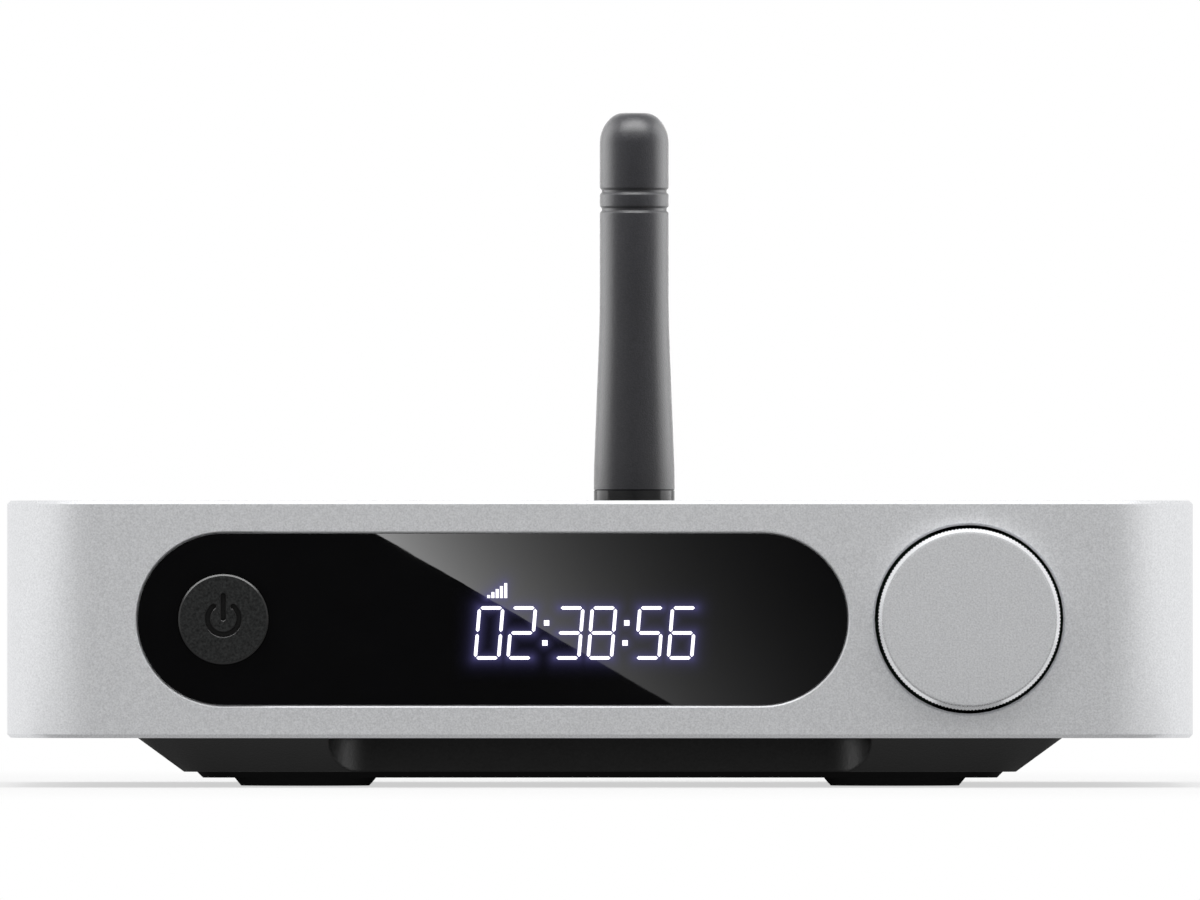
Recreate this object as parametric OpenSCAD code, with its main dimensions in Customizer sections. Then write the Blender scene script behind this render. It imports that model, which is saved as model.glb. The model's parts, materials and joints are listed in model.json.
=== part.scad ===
// Network music streamer: a machined aluminium shell on a stepped black base, with a smoked
// display window, a power button, a volume knob and a hinged rod antenna on the rear panel.
// Millimetres. +X is right seen from the front, +Y runs to the rear, +Z is up.
// The origin is on the table, at the middle of the whole part's footprint.

/* [Case] */
// Width of the shell
case_w = 120; // [116:1:136]
// Depth of the shell, from its front face to its rear face
case_d = 94; // [90:1:116]
// Height of the shell
case_h = 24; // [23:0.5:28]
// Radius of the upright corners
case_corner_r = 8.5; // [6:0.5:9]
// Thickness of the front, side and rear walls
case_wall = 2.5; // [2.3:0.1:3]
// Thickness of the top
case_top_t = 2.5; // [2:0.1:3]
// Width of the bevel round the top and bottom edges
case_bevel = 0.35; // [0.2:0.05:0.6]

/* [Base] */
// How far the base's upper edge lies inside the shell's sides
base_inset_x = 13; // [11:0.2:15]
// How far the base's upper edge lies inside the shell's front and rear
base_inset_y = 11; // [9:0.5:14]
// Height of the sloping sides
base_h = 3.5; // [3:0.25:5]
// How far the sloping sides run inwards
base_run = 4.8; // [3:0.2:6]
// Corner radius at the foot of the slope
base_corner_r = 2.6; // [2:0.2:4]
// Thickness of the base's walls and floor
base_wall = 1.6; // [1.2:0.1:2]
// Thickness of the flange that closes the shell
flange_t = 1.5; // [1.4:0.1:2]
// Width of the recess in the base's front and rear
notch_w = 55; // [40:1:60]
// Radius at the ends of that recess
notch_r = 4.5; // [3:0.5:6]
// How far the recess reaches behind the foot of the slope
notch_depth = 0.5; // [0.2:0.1:0.8]
// Thickness of the sole plate
sole_t = 0.6; // [0.5:0.1:1.2]
// How far the sole plate lies inside the foot of the slope
sole_inset = 1.3; // [1:0.1:2]
// Diameter of a foot where it meets the sole plate
foot_d = 14.45; // [10:0.05:16]
// Height of a foot
foot_h = 0.85; // [0.7:0.05:2]
// Width of the sloping edge of a foot
foot_bevel = 0.7; // [0.3:0.1:1.5]
// Distance from the sole plate's edge to a foot
foot_margin = 3.7; // [2:0.1:5]

/* [Front] */
// Width of the display window
window_w = 71.9; // [64:0.1:80]
// Height of the display window, which has round ends
window_h = 17.5; // [17:0.1:18.5]
// Gap between the window and the knob's hole
window_gap = 2.65; // [2:0.05:4]
// Thickness of the window
window_t = 1.2; // [0.8:0.1:1.3]
// How far the window lies behind the front face
window_recess = 0.25; // [0.1:0.05:0.4]
// Width of the ledge that the window is stuck to
window_ledge = 1.5; // [1:0.1:1.8]
// Width of the bevel on the edge of the window's pocket
window_bevel = 0.15; // [0.05:0.01:0.2]
// Thickness of the adhesive frame behind the window
tape_t = 0.15; // [0.1:0.05:0.25]
// Diameter of the power button
button_d = 9.1; // [8:0.1:10]
// How far the power button stands out of the front face
button_proud = 0.8; // [0.4:0.1:1.5]
// Width of the bevel round the power button's face
button_bevel = 0.35; // [0.2:0.05:0.4]
// Travel of the power button
button_travel = 0.4; // [0.2:0.05:0.5]
// Diameter of the volume knob
knob_d = 18.4; // [17:0.1:18.6]
// Clearance between the knob and its hole
knob_gap = 0.32; // [0.2:0.02:0.5]
// How far the knob stands out of the front face
knob_proud = 5; // [4:0.1:8]
// How far the knob reaches into its hole in the shell
knob_sink = 1.6; // [1:0.1:2]
// Width of the bevel round the knob's face
knob_bevel = 0.5; // [0.2:0.1:1]
// Width of the bevel on the edge of the knob's hole
hole_bevel = 0.25; // [0.1:0.05:0.5]
// Travel of the knob when it is pressed
knob_travel = 0.5; // [0.3:0.05:0.7]
// Diameter of the encoder's shaft
shaft_d = 6; // [5:0.5:6]

/* [Display] */
// Width of the display glass
lcd_w = 46; // [36:1:48]
// Height of the display glass
lcd_h = 13.2; // [11:0.2:14]
// Thickness of the display glass
lcd_t = 1.8; // [1.2:0.1:2]
// Thickness of the light guide behind the glass
backlight_t = 3; // [2:0.2:3.2]
// How far the display's middle lies to the right of the window's middle
lcd_x = 7.9; // [6:0.1:9]

/* [Boards] */
// Thickness of the circuit boards
board_t = 1.6; // [1.2:0.2:2]
// Distance from the front face to the front board
front_board_y = 10; // [9.6:0.1:11]
// Gap between the main board and the bosses beside it
board_side_gap = 2.8; // [2:0.2:4]
// Gap between the base's flange and the main board
board_lift = 2; // [1.6:0.2:2.4]

/* [Rear] */
// Thickness of the rear panel's flange
panel_t = 1.5; // [1.2:0.1:1.8]
// Distance between the two line outputs
line_pitch = 13; // [12.5:0.5:13.5]
// Outer diameter of a line output's barrel
line_d = 8.3; // [8:0.1:8.5]
// How far a line output's barrel stands out of the shell
line_proud = 8.6; // [7:0.2:10]

/* [Antenna] */
// Sideways place of the antenna
antenna_x = 3.55; // [2.5:0.05:4.5]
// Height of the antenna socket's axis above the table
antenna_z = 18; // [17:0.5:19]
// Distance from the rear face to the hinge pin
hinge_out = 19.6; // [18:0.2:24]
// Length of the mast, from the hinge pin to its tip
mast_l = 51.3; // [42:0.1:70]
// Distance from the hinge pin to the joint between collar and sleeve
collar_l = 12.1; // [9:0.1:14]
// Diameter of the sleeve at its foot, and of the collar and elbow
mast_foot_d = 8.4; // [8:0.1:9]
// Diameter of the sleeve at its tip
mast_tip_d = 7.15; // [6.5:0.05:7.5]
// Height above the hinge pin where the sleeve stops narrowing
mast_taper_end = 30; // [24:0.5:32]
// Depth of the two grooves near the tip
groove_depth = 0.22; // [0.1:0.02:0.4]
// Diameter of the hinge pin
pin_d = 2; // [1.6:0.1:2.4]

/* [Fits] */
// Clearance of parts that turn or slide in one another
run_gap = 0.05; // [0.03:0.01:0.08]
// Clearance round parts that sit in an opening
seat_gap = 0.1; // [0.05:0.01:0.15]

/* [Hidden] */
$fn = 64;
cut = 1;

// Heights above the table
sole_z = foot_h;
base_z = sole_z + sole_t;
case_z = base_z + base_h;
case_top_z = case_z + case_h;
mid_z = case_z + case_h / 2;
flange_gap = 0.15;
flange_z = case_z + flange_gap;
board_z = flange_z + flange_t + board_lift;
board_top_z = board_z + board_t;
ceiling_z = case_top_z - case_top_t;

// Places along the depth
ear_step = 0.1;
ear_r = mast_foot_d / 2 - ear_step;
overall_d = knob_proud + case_d + hinge_out + mast_foot_d / 2;
front_y = -overall_d / 2 + knob_proud;
rear_y = front_y + case_d;
case_mid_y = (front_y + rear_y) / 2;
inner_front_y = front_y + case_wall;
inner_rear_y = rear_y - case_wall;

// Base outline: half sizes at the top and at the foot of the slope
base_top_x = case_w / 2 - base_inset_x;
base_top_y = case_d / 2 - base_inset_y;
base_foot_x = base_top_x - base_run;
base_foot_y = base_top_y - base_run;
sole_x = base_foot_x - sole_inset;
sole_y = base_foot_y - sole_inset;
foot_x = sole_x - foot_margin - foot_d / 2;
foot_y = sole_y - foot_margin - foot_d / 2;

// Board screws, the same size on both boards
screw_r = 0.9;
screw_head_r = 1.9;
screw_head_t = 1.3;
screw_bite = 4;

// Corner bosses that take the base screws
boss_r = 3.2;
boss_side_inset = 7;
boss_rear_inset = 9;
boss_gap = 0.4;
boss_x = case_w / 2 - boss_side_inset;
boss_front_y = front_y + front_board_y + board_t + screw_head_t + boss_gap + boss_r;
boss_rear_y = rear_y - boss_rear_inset;
base_screw_r = 1.25;
base_screw_head_r = 2.4;
base_screw_reach = 8;
screw_tip_gap = 0.5;
cross_w = 0.5;
cross_d = 0.6;
boss_places = [
    [-boss_x, boss_front_y], [boss_x, boss_front_y], [-boss_x, boss_rear_y], [boss_x, boss_rear_y]
];

// Window and knob side by side, with the same margin at both ends of the front
knob_r = knob_d / 2;
knob_hole_r = knob_r + knob_gap;
front_margin = (case_w - window_w - window_gap - 2 * knob_hole_r) / 2;
window_x = -case_w / 2 + front_margin + window_w / 2;
knob_x = case_w / 2 - front_margin - knob_hole_r;

// Window stack
window_pocket = window_recess + window_t + tape_t;
button_x = window_x - window_w / 2 + window_h / 2;
button_r = button_d / 2;
button_flange_w = 1;
button_flange_r = button_r + button_flange_w;
button_flange_t = 0.9;
button_stem_r = 1.6;
button_back_gap = 0.1;
button_gap = 0.08;
button_flange_y = front_y + window_recess + window_t + button_back_gap;

// Front board and what stands on it
fboard_y = front_y + front_board_y;
fboard_back_y = fboard_y + board_t;
fboard_h = 17.4;
fboard_margin = 0.7;
post_r = 2.2;
post_lift = 7;
post_wall = 1;
post_left_x = button_x - sqrt(pow(window_h / 2 + post_wall + post_r, 2) - pow(post_lift, 2));
post_right_x = knob_x + sqrt(pow(knob_hole_r + post_wall + post_r, 2) - pow(post_lift, 2));
post_places = [for (x = [post_left_x, post_right_x], side = [-1, 1]) [x, side * post_lift]];
fboard_x0 = post_left_x - post_r - fboard_margin;
fboard_x1 = post_right_x + post_r + fboard_margin;

// Power switch
switch_side = 6;
switch_t = 3.5;
switch_y = fboard_y - switch_t;
plunger_r = 1.7;
plunger_out = 0.9;
plunger_in = 1.2;
plunger_end_gap = 0.2;

// Encoder and knob
hub_gap = 0.3;
hub_sink = 1;
knob_front_y = front_y - knob_proud;
knob_back_y = front_y + knob_sink;
knob_face_t = 2.2;
knob_rim_t = 1.6;
hub_r = 4.6;
hub_back_y = front_y + hub_sink;
shaft_r = shaft_d / 2;
shaft_flat = shaft_r / 2;
encoder_w = 12.4;
encoder_h = 13;
encoder_t = 5.5;
encoder_y = fboard_y - encoder_t;
bushing_r = 3.6;
bushing_plate_t = 0.5;
encoder_back_t = 0.3;
bushing_y = hub_back_y + knob_travel + hub_gap;
rotor_r = 5;
rotor_gap = 0.2;
rotor_inset = 0.9;
rotor_y = encoder_y + rotor_inset;
rotor_t = 2.8;
shaft_end_y = fboard_y - encoder_back_t - knob_travel - seat_gap;
shaft_tip_y = knob_front_y + knob_face_t + seat_gap;

// Display behind the window
display_x = window_x + lcd_x;
lcd_gap = 0.4;
lcd_y = inner_front_y + lcd_gap;
lcd_step = 0.3;
backlight_y = lcd_y + lcd_t;
holder_wall = 1.3;
holder_y = lcd_y + lcd_step;

// Main board
board_front_gap = 1.6;
board_rear_gap = 0.6;
board_front_y = fboard_back_y + board_front_gap;
panel_y = inner_rear_y - panel_t;
board_rear_y = panel_y - board_rear_gap;
board_w = 2 * (boss_x - boss_r - board_side_gap);
board_screw_gap = 0.4;
pillar_side_inset = 8.4;
pillar_front_inset = 6.8;
pillar_rear_inset = 20.4;
pillar_x = board_w / 2 - pillar_side_inset;
pillar_front_y = board_front_y + pillar_front_inset;
pillar_rear_y = board_rear_y - pillar_rear_inset;
pillar_r = 2.6;
pillar_places = [
    [-pillar_x, pillar_front_y], [pillar_x, pillar_front_y],
    [-pillar_x, pillar_rear_y], [pillar_x, pillar_rear_y]
];

// Ribbon cable between the boards
ribbon_w = 12;
ribbon_t = 0.3;
ribbon_bend = 3;
ribbon_x = -8;
ribbon_rise = 1;
ribbon_reach = 13;
ribbon_z = mid_z + ribbon_rise;
ribbon_drop_y = fboard_back_y + ribbon_reach;
socket_w = 16;
socket_t = 2.6;
socket_depth = 4;

// Chips and capacitors on the main board
processor_side = 14;
processor_t = 1.4;
processor_inset = 20;
processor_back = -5;
processor_x = -board_w / 2 + processor_inset;
processor_y = case_mid_y + processor_back;
spreader_side = 16;
spreader_t = 1.2;
fin_count = 5;
fin_t = 1;
fin_h = 4;
converter_size = [10, 6, 1.5];
converter_inset = 20;
converter_back = -4;
converter_x = board_w / 2 - converter_inset;
converter_y = case_mid_y + converter_back;
capacitor_r = 2.5;
capacitor_h = 6;
capacitor_count = 4;
capacitor_pitch = 6.4;
capacitor_inset = 3.8;
capacitor_back = 12;
capacitor_x = board_w / 2 - capacitor_inset - (capacitor_count - 1) * capacitor_pitch;
capacitor_y = case_mid_y + capacitor_back;

// Rear panel, held between the base's flange and the shell's ceiling
panel_lap = 1.2;
panel_z = flange_z + flange_t + seat_gap;
panel_h = ceiling_z - seat_gap - panel_z;
panel_mid_z = panel_z + panel_h / 2;
panel_w = case_w - 2 * case_corner_r - 2 * seat_gap;
rear_open_w = panel_w - 2 * panel_lap;
rear_open_h = panel_h - 2 * panel_lap;
panel_recess = 0.3;
panel_face_y = rear_y - panel_recess;
port_gap = 0.2;

// Network jack
lan_w = 16;
lan_h = 13.4;
lan_d = 21;
lan_proud = 0.6;
lan_shield_t = 0.4;
lan_mouth_w = 11.9;
lan_mouth_h = 7.6;
lan_mouth_d = 13;
lan_latch_w = 6.2;
lan_latch_h = 2.2;
lan_face_y = rear_y + lan_proud;
lan_mouth_lift = 3.6;
lan_mouth_z = board_top_z + lan_mouth_lift;
lan_insert_recess = 0.3;
lan_pitch = 1.02;
lan_wire = [0.4, 9, 0.35];
lan_wire_tilt = 9;
lan_wire_gap = 0.6;
lan_wire_y = lan_face_y - lan_mouth_d + lan_wire_gap;
lan_wire_drop = 2.2;
lan_wire_count = 8;

// Host port
host_w = 13.1;
host_h = 5.7;
host_d = 14;
host_wall = 0.35;
host_lift = 0.5;
host_z = board_top_z + host_lift;
host_tongue_w = 11.1;
host_tongue_t = 1.9;
host_tongue_d = 8.8;
host_tongue_gap = 0.3;
host_block_d = 3.5;
host_proud = 0.4;
host_face_y = rear_y + host_proud;

// Power inlet
inlet_w = 8.94;
inlet_h = 3.2;
inlet_d = 7.4;
inlet_wall = 0.3;
inlet_tongue_w = 6.7;
inlet_tongue_t = 0.7;
inlet_tongue_d = 4.6;
inlet_block_d = 1.4;
inlet_z = board_top_z + inlet_h / 2 + seat_gap;
inlet_proud = 0.2;
inlet_face_y = rear_y + inlet_proud;

// Optical output
optical_w = 10;
optical_h = 10;
optical_d = 14;
optical_wall = 1;
optical_proud = 0.5;
optical_face_y = rear_y + optical_proud;
optical_lift = 0.6;
optical_z = board_top_z + optical_lift;
shutter_t = 0.8;
shutter_pin_r = 0.45;
shutter_gap = 0.25;
shutter_inset = 0.9;
shutter_y = optical_face_y - shutter_inset;
shutter_z = optical_z + optical_h - optical_wall - shutter_t / 2 - shutter_gap;
shutter_pin_inset = 0.4;
shutter_pin_l = optical_w - 2 * shutter_pin_inset;
emitter_t = 2.4;
emitter_w = 6;
light_hole_r = 1.2;

// Line outputs
line_r = line_d / 2;
line_wall = 0.6;
line_shoulder_w = 0.3;
line_shoulder_r = line_r + line_shoulder_w;
line_lift = 8;
line_z = board_top_z + line_lift;
line_face_y = rear_y + line_proud;
line_hole_r = 1.65;
line_hole_d = 9;
line_contact_r = 2.3;
line_contact_d = 4;
line_insert_recess = 0.4;
line_flange_w = 1;
line_flange_r = line_r + line_flange_w;
line_flange_t = 0.8;
line_block_h = 13;
line_block_d = 9;
line_block_wall = 0.5;
line_block_margin = line_flange_r + seat_gap + line_block_wall;
line_block_y = panel_y - line_block_d;
line_root_d = 5;
line_root_y = panel_y - line_root_d;

// Antenna socket and hinged antenna
thread_r = 3.17;
thread_out = 8;
socket_body_r = 4.3;
socket_body_t = 3;
lead_r = 0.65;
lead_bend = 4;
lead_run = 9;
ferrule_r = 1.9;
ferrule_l = 5;
socket_nut_af = 8;
socket_nut_t = 2;
socket_nut_r = socket_nut_af / 2 / cos(30);
socket_bore_r = 2.4;
socket_bore_start = 2;
socket_bore_y = rear_y + socket_bore_start;
antenna_nut_r = mast_foot_d / 2;
antenna_nut_gap = 0.6;
antenna_nut_y = rear_y + socket_nut_t + antenna_nut_gap;
antenna_nut_l = 8.2;
elbow_gap = 0.15;
elbow_y = antenna_nut_y + antenna_nut_l + elbow_gap;
journal_r = 2.5;
journal_l = 2;
journal_step = 0.4;
slot_gap = 0.5;
hinge_y = rear_y + hinge_out;
tongue_t = 4;
tongue_gap = 0.1;
collar_z = antenna_z + ear_r + slot_gap;
collar_top_z = antenna_z + collar_l;
spigot_r = 2.1;
spigot_l = 3;
pin_r = pin_d / 2;
mast_foot_r = mast_foot_d / 2;
mast_tip_r = mast_tip_d / 2;
mast_top_z = antenna_z + mast_l;
mast_flat = 0.45;
mast_dome_z = mast_top_z - mast_tip_r + mast_flat;
mast_straight = 1.9;
groove_half = 0.35;
groove_lip = 0.12;
groove_drops = [5, 6.9];
groove_places = [for (drop = groove_drops) mast_dome_z - drop];
mast_bore_r = 2.2;
pin_inset = 0.4;
radiator_r = 0.7;
radiator_tube_l = 14;
radiator_gap = 0.2;
radiator_tip_gap = 0.5;

// Wireless module, near the end of the antenna lead
lead_y = panel_y - socket_body_t - ferrule_l - lead_run - lead_bend;
wireless_w = 24;
wireless_d = 20;
wireless_t = 1;
plug_inset = 3;
plug_side = 4;
wireless_y = lead_y - wireless_d + plug_inset;
wireless_x = antenna_x - plug_side;
shield_t = 2.2;
shield_d = 14;
shield_margin = 1;
plug_r = 1.6;
plug_t = 1.2;

// Jacks along the rear panel, with equal gaps on each side of the antenna's socket
left_jacks_w = inlet_w + host_w + lan_w;
left_gap = (antenna_x - socket_nut_r + rear_open_w / 2 - left_jacks_w) / 4;
power_x = -rear_open_w / 2 + left_gap + inlet_w / 2;
host_x = power_x + inlet_w / 2 + left_gap + host_w / 2;
lan_x = host_x + host_w / 2 + left_gap + lan_w / 2;
right_jacks_w = optical_w + line_pitch + 2 * line_block_margin;
right_gap = (rear_open_w / 2 - antenna_x - socket_nut_r - right_jacks_w) / 3;
optical_x = antenna_x + socket_nut_r + right_gap + optical_w / 2;
line_x = optical_x + optical_w / 2 + right_gap + line_block_margin;
panel_split_x = optical_x + (optical_w + right_gap) / 2;

// Quarter-turn corners, straight sides and a core, all with one edge profile of [outset, height] points
module lofted(w, d, profile) {
    z0 = profile[0][1];
    z1 = profile[len(profile) - 1][1];
    corners = [[1, 1], [-1, 1], [-1, -1], [1, -1]];
    for (i = [0 : 3])
        translate([corners[i][0] * w / 2, corners[i][1] * d / 2, 0])
            rotate([0, 0, 90 * i])
                rotate_extrude(angle = 90)
                    polygon(profile);
    for (turn = [0, 180]) {
        rotate([0, 0, turn])
            translate([w / 2, 0, 0])
                rotate([90, 0, 0])
                    linear_extrude(height = d, center = true)
                        polygon(profile);
        rotate([0, 0, turn + 90])
            translate([d / 2, 0, 0])
                rotate([90, 0, 0])
                    linear_extrude(height = w, center = true)
                        polygon(profile);
    }
    translate([-w / 2, -d / 2, z0])
        cube([w, d, z1 - z0]);
}

// An upright block with round corners, standing on z = 0
module round_block(w, d, h, r) {
    lofted(w - 2 * r, d - 2 * r, [[0, 0], [r, 0], [r, h], [0, h]]);
}

// Turns what is drawn upwards so that it runs to the rear
module along_y() {
    rotate([-90, 0, 0])
        children();
}

// A block with half-round ends, its length across, running to the rear from y = 0
module stadium(w, h, depth) {
    straight = w - h;
    translate([-straight / 2, 0, -h / 2])
        cube([straight, depth, h]);
    for (side = [0, 180])
        rotate([0, side, 0])
            translate([straight / 2, 0, 0])
                along_y()
                    rotate([0, 0, -90])
                        rotate_extrude(angle = 180)
                            square([h / 2, depth]);
}

// The same block with an edge that slopes in to w and h over its depth, which is the bevel's width
module stadium_bevel(w, h, bevel) {
    straight = w - h;
    profile = [[0, 0], [h / 2 + bevel, 0], [h / 2, bevel], [0, bevel]];
    for (side = [0, 180])
        rotate([0, side, 0]) {
            translate([-straight / 2, 0, 0])
                rotate([0, 90, 0])
                    linear_extrude(height = straight)
                        polygon(profile);
            translate([straight / 2, 0, 0])
                along_y()
                    rotate([0, 0, -90])
                        rotate_extrude(angle = 180)
                            polygon(profile);
        }
}

// A block centred on x and z, running to the rear from y = 0
module slab_y(w, h, depth) {
    translate([-w / 2, 0, -h / 2])
        cube([w, depth, h]);
}

// A round bar that runs to the rear from y = 0
module bar_y(r, depth) {
    along_y()
        cylinder(r = r, h = depth);
}

// A D-section bar that runs to the rear from y = 0
module d_bar_y(r, flat, depth) {
    difference() {
        bar_y(r, depth);
        translate([-r, -cut, flat])
            cube([2 * r, depth + 2 * cut, r]);
    }
}

// A pan-head screw, its head's underside on z = 0 and its thread downwards
module screw(bite) {
    translate([0, 0, -bite])
        cylinder(r = screw_r, h = bite);
    difference() {
        cylinder(r = screw_head_r, h = screw_head_t);
        for (turn = [0, 90])
            translate([0, 0, screw_head_t])
                rotate([0, 0, turn])
                    cube([screw_head_r * 1.2, cross_w, 2 * cross_d], center = true);
    }
}

// Case

module shell() {
    color("silver")
        difference() {
            union() {
                shell_skin();
                shell_bosses();
                shell_posts();
            }
            window_cuts();
            translate([knob_x, front_y - cut, mid_z])
                bar_y(knob_hole_r, case_wall + 2 * cut);
            translate([knob_x, front_y, mid_z])
                along_y()
                    cylinder(r1 = knob_hole_r + hole_bevel, r2 = knob_hole_r, h = hole_bevel);
            translate([0, inner_rear_y - cut, panel_mid_z])
                slab_y(rear_open_w, rear_open_h, case_wall + 2 * cut);
            for (p = boss_places)
                translate([p[0], p[1], flange_z + flange_t - cut])
                    cylinder(r = base_screw_r + run_gap, h = base_screw_reach + cut);
            for (p = post_places)
                translate([p[0], fboard_y - screw_bite - seat_gap, mid_z + p[1]])
                    bar_y(screw_r + run_gap, screw_bite + seat_gap + cut);
        }
}

module shell_skin() {
    r = case_corner_r;
    inner_r = r - case_wall;
    inner_w = case_w - 2 * case_wall;
    inner_d = case_d - 2 * case_wall;
    b = case_bevel;
    h = case_h;
    translate([0, case_mid_y, case_z])
        difference() {
            lofted(case_w - 2 * r, case_d - 2 * r,
                [[0, 0], [r - b, 0], [r, b], [r, h - b], [r - b, h], [0, h]]);
            translate([0, 0, -cut])
                round_block(inner_w, inner_d, h - case_top_t + cut, inner_r);
        }
}

module shell_bosses() {
    for (p = boss_places)
        translate([p[0], p[1], flange_z + flange_t])
            cylinder(r = boss_r, h = ceiling_z - flange_z - flange_t + case_top_t / 2);
}

module shell_posts() {
    for (p = post_places)
        translate([p[0], inner_front_y - case_wall / 3, mid_z + p[1]])
            bar_y(post_r, fboard_y - inner_front_y + case_wall / 3);
}

module window_cuts() {
    translate([window_x, front_y, mid_z]) {
        translate([0, -cut, 0])
            stadium(window_w, window_h, window_pocket + cut);
        stadium_bevel(window_w, window_h, window_bevel);
        stadium(window_w - 2 * window_ledge, window_h - 2 * window_ledge, case_wall + cut);
    }
}

module base_tray() {
    top = base_corner_r + base_run;
    lip = flange_z - base_z;
    hollow_w = 2 * (base_foot_x - base_wall);
    hollow_d = 2 * (base_foot_y - notch_depth - base_wall);
    inner_w = case_w - 2 * case_wall - 2 * seat_gap;
    inner_d = case_d - 2 * case_wall - 2 * seat_gap;
    color([0.06, 0.06, 0.06])
        difference() {
            union() {
                difference() {
                    union() {
                        translate([0, case_mid_y, base_z])
                            lofted(2 * (base_foot_x - base_corner_r), 2 * (base_foot_y - base_corner_r),
                                [[0, 0], [base_corner_r, 0], [top, base_h], [top, lip], [0, lip]]);
                        translate([0, case_mid_y, flange_z])
                            round_block(inner_w, inner_d, flange_t, case_corner_r - case_wall);
                    }
                    translate([0, case_mid_y, base_z + base_wall])
                        round_block(hollow_w, hollow_d, lip + flange_t, base_corner_r);
                    base_notch(front_y + base_inset_y + base_run + notch_depth, 180);
                    base_notch(rear_y - base_inset_y - base_run - notch_depth, 0);
                }
                for (p = pillar_places)
                    translate([p[0], p[1], base_z + base_wall / 2])
                        cylinder(r = pillar_r, h = board_z - base_z - base_wall / 2);
            }
            for (p = boss_places)
                translate([p[0], p[1], flange_z])
                    base_screw_hole();
            for (p = pillar_places)
                translate([p[0], p[1], board_z - screw_bite])
                    cylinder(r = screw_r + run_gap, h = screw_bite + cut);
        }
}

// The upright recess in the slope at the front or rear, its back wall on y and its mouth turned outwards
module base_notch(y, turn) {
    straight = notch_w - 2 * notch_r;
    reach = base_run + notch_depth + cut;
    translate([0, y, base_z - cut])
        rotate([0, 0, turn]) {
            translate([-straight / 2, 0, 0])
                cube([straight, reach, base_h + cut]);
            for (side = [-1, 1])
                translate([side * straight / 2, notch_r, 0]) {
                    cylinder(r = notch_r, h = base_h + cut);
                    translate([-notch_r, 0, 0])
                        cube([2 * notch_r, max(reach - notch_r, cut), base_h + cut]);
                }
        }
}

module base_screw_hole() {
    sink = base_screw_head_r - base_screw_r;
    translate([0, 0, -cut])
        cylinder(r = base_screw_r + seat_gap, h = flange_t + 2 * cut);
    translate([0, 0, -cut])
        cylinder(r = base_screw_head_r + seat_gap, h = cut);
    cylinder(r1 = base_screw_head_r + seat_gap, r2 = base_screw_r + seat_gap, h = sink);
}

module base_screws() {
    sink = base_screw_head_r - base_screw_r;
    color("dimgray")
        for (p = boss_places)
            translate([p[0], p[1], flange_z])
                difference() {
                    union() {
                        cylinder(r1 = base_screw_head_r, r2 = base_screw_r, h = sink);
                        cylinder(r = base_screw_r, h = flange_t + base_screw_reach - screw_tip_gap);
                    }
                    for (turn = [0, 90])
                        rotate([0, 0, turn])
                            cube([base_screw_head_r * 1.1, cross_w, 2 * cross_d], center = true);
                }
}

module sole_plate() {
    r = base_corner_r;
    inner = 2 * (sole_x - r);
    color([0.03, 0.03, 0.03])
        translate([0, case_mid_y, sole_z])
            lofted(inner, 2 * (sole_y - r), [[0, 0], [r - sole_t, 0], [r, sole_t], [0, sole_t]]);
}

module foot(side_x, side_y) {
    color([0.1, 0.1, 0.1])
        translate([side_x * foot_x, case_mid_y + side_y * foot_y, 0])
            cylinder(r1 = foot_d / 2 - foot_bevel, r2 = foot_d / 2, h = foot_h);
}

// Window, display and button

module display_window() {
    color([0.04, 0.04, 0.05])
        translate([window_x, front_y + window_recess, mid_z])
            difference() {
                stadium(window_w - 2 * seat_gap, window_h - 2 * seat_gap, window_t);
                translate([button_x - window_x, -cut, 0])
                    bar_y(button_r + button_gap, window_t + 2 * cut);
            }
}

module window_tape() {
    hole_inset = 2 * window_ledge - seat_gap;
    color([0.15, 0.15, 0.15])
        translate([window_x, front_y + window_recess + window_t, mid_z])
            difference() {
                stadium(window_w - 4 * seat_gap, window_h - 4 * seat_gap, tape_t);
                translate([0, -cut, 0])
                    stadium(window_w - hole_inset, window_h - hole_inset, tape_t + 2 * cut);
            }
}

module lcd_glass() {
    color([0.2, 0.22, 0.25])
        translate([display_x, lcd_y, mid_z])
            slab_y(lcd_w, lcd_h, lcd_t);
}

module lcd_backlight() {
    color("white")
        translate([display_x, backlight_y, mid_z])
            slab_y(lcd_w - 2 * lcd_step, lcd_h - 2 * lcd_step, backlight_t);
}

module lcd_holder() {
    pocket = backlight_y + backlight_t - holder_y;
    color([0.1, 0.1, 0.1])
        translate([display_x, holder_y, mid_z])
            difference() {
                slab_y(lcd_w + 2 * holder_wall, lcd_h + 2 * holder_wall, fboard_y - holder_y);
                translate([0, -cut, 0])
                    slab_y(lcd_w + 2 * seat_gap, lcd_h + 2 * seat_gap, pocket + cut);
            }
}

module power_button() {
    face_y = front_y - button_proud;
    flange = button_flange_y - face_y;
    stem_end = switch_y - plunger_out - face_y;
    color([0.15, 0.15, 0.15])
        translate([button_x, face_y, mid_z])
            along_y()
                rotate_extrude()
                    polygon([
                        [0, 0], [button_r - button_bevel, 0], [button_r, button_bevel], [button_r, flange],
                        [button_flange_r, flange], [button_flange_r, flange + button_flange_t],
                        [button_stem_r, flange + button_flange_t], [button_stem_r, stem_end], [0, stem_end]
                    ]);
}

module power_switch() {
    color([0.1, 0.1, 0.1])
        translate([button_x, switch_y, mid_z])
            difference() {
                slab_y(switch_side, switch_side, switch_t);
                translate([0, -cut, 0])
                    bar_y(plunger_r + run_gap, plunger_in + button_travel + plunger_end_gap + cut);
            }
}

module switch_plunger() {
    color("tan")
        translate([button_x, switch_y - plunger_out, mid_z])
            bar_y(plunger_r, plunger_out + plunger_in);
}

// Encoder and knob

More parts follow.
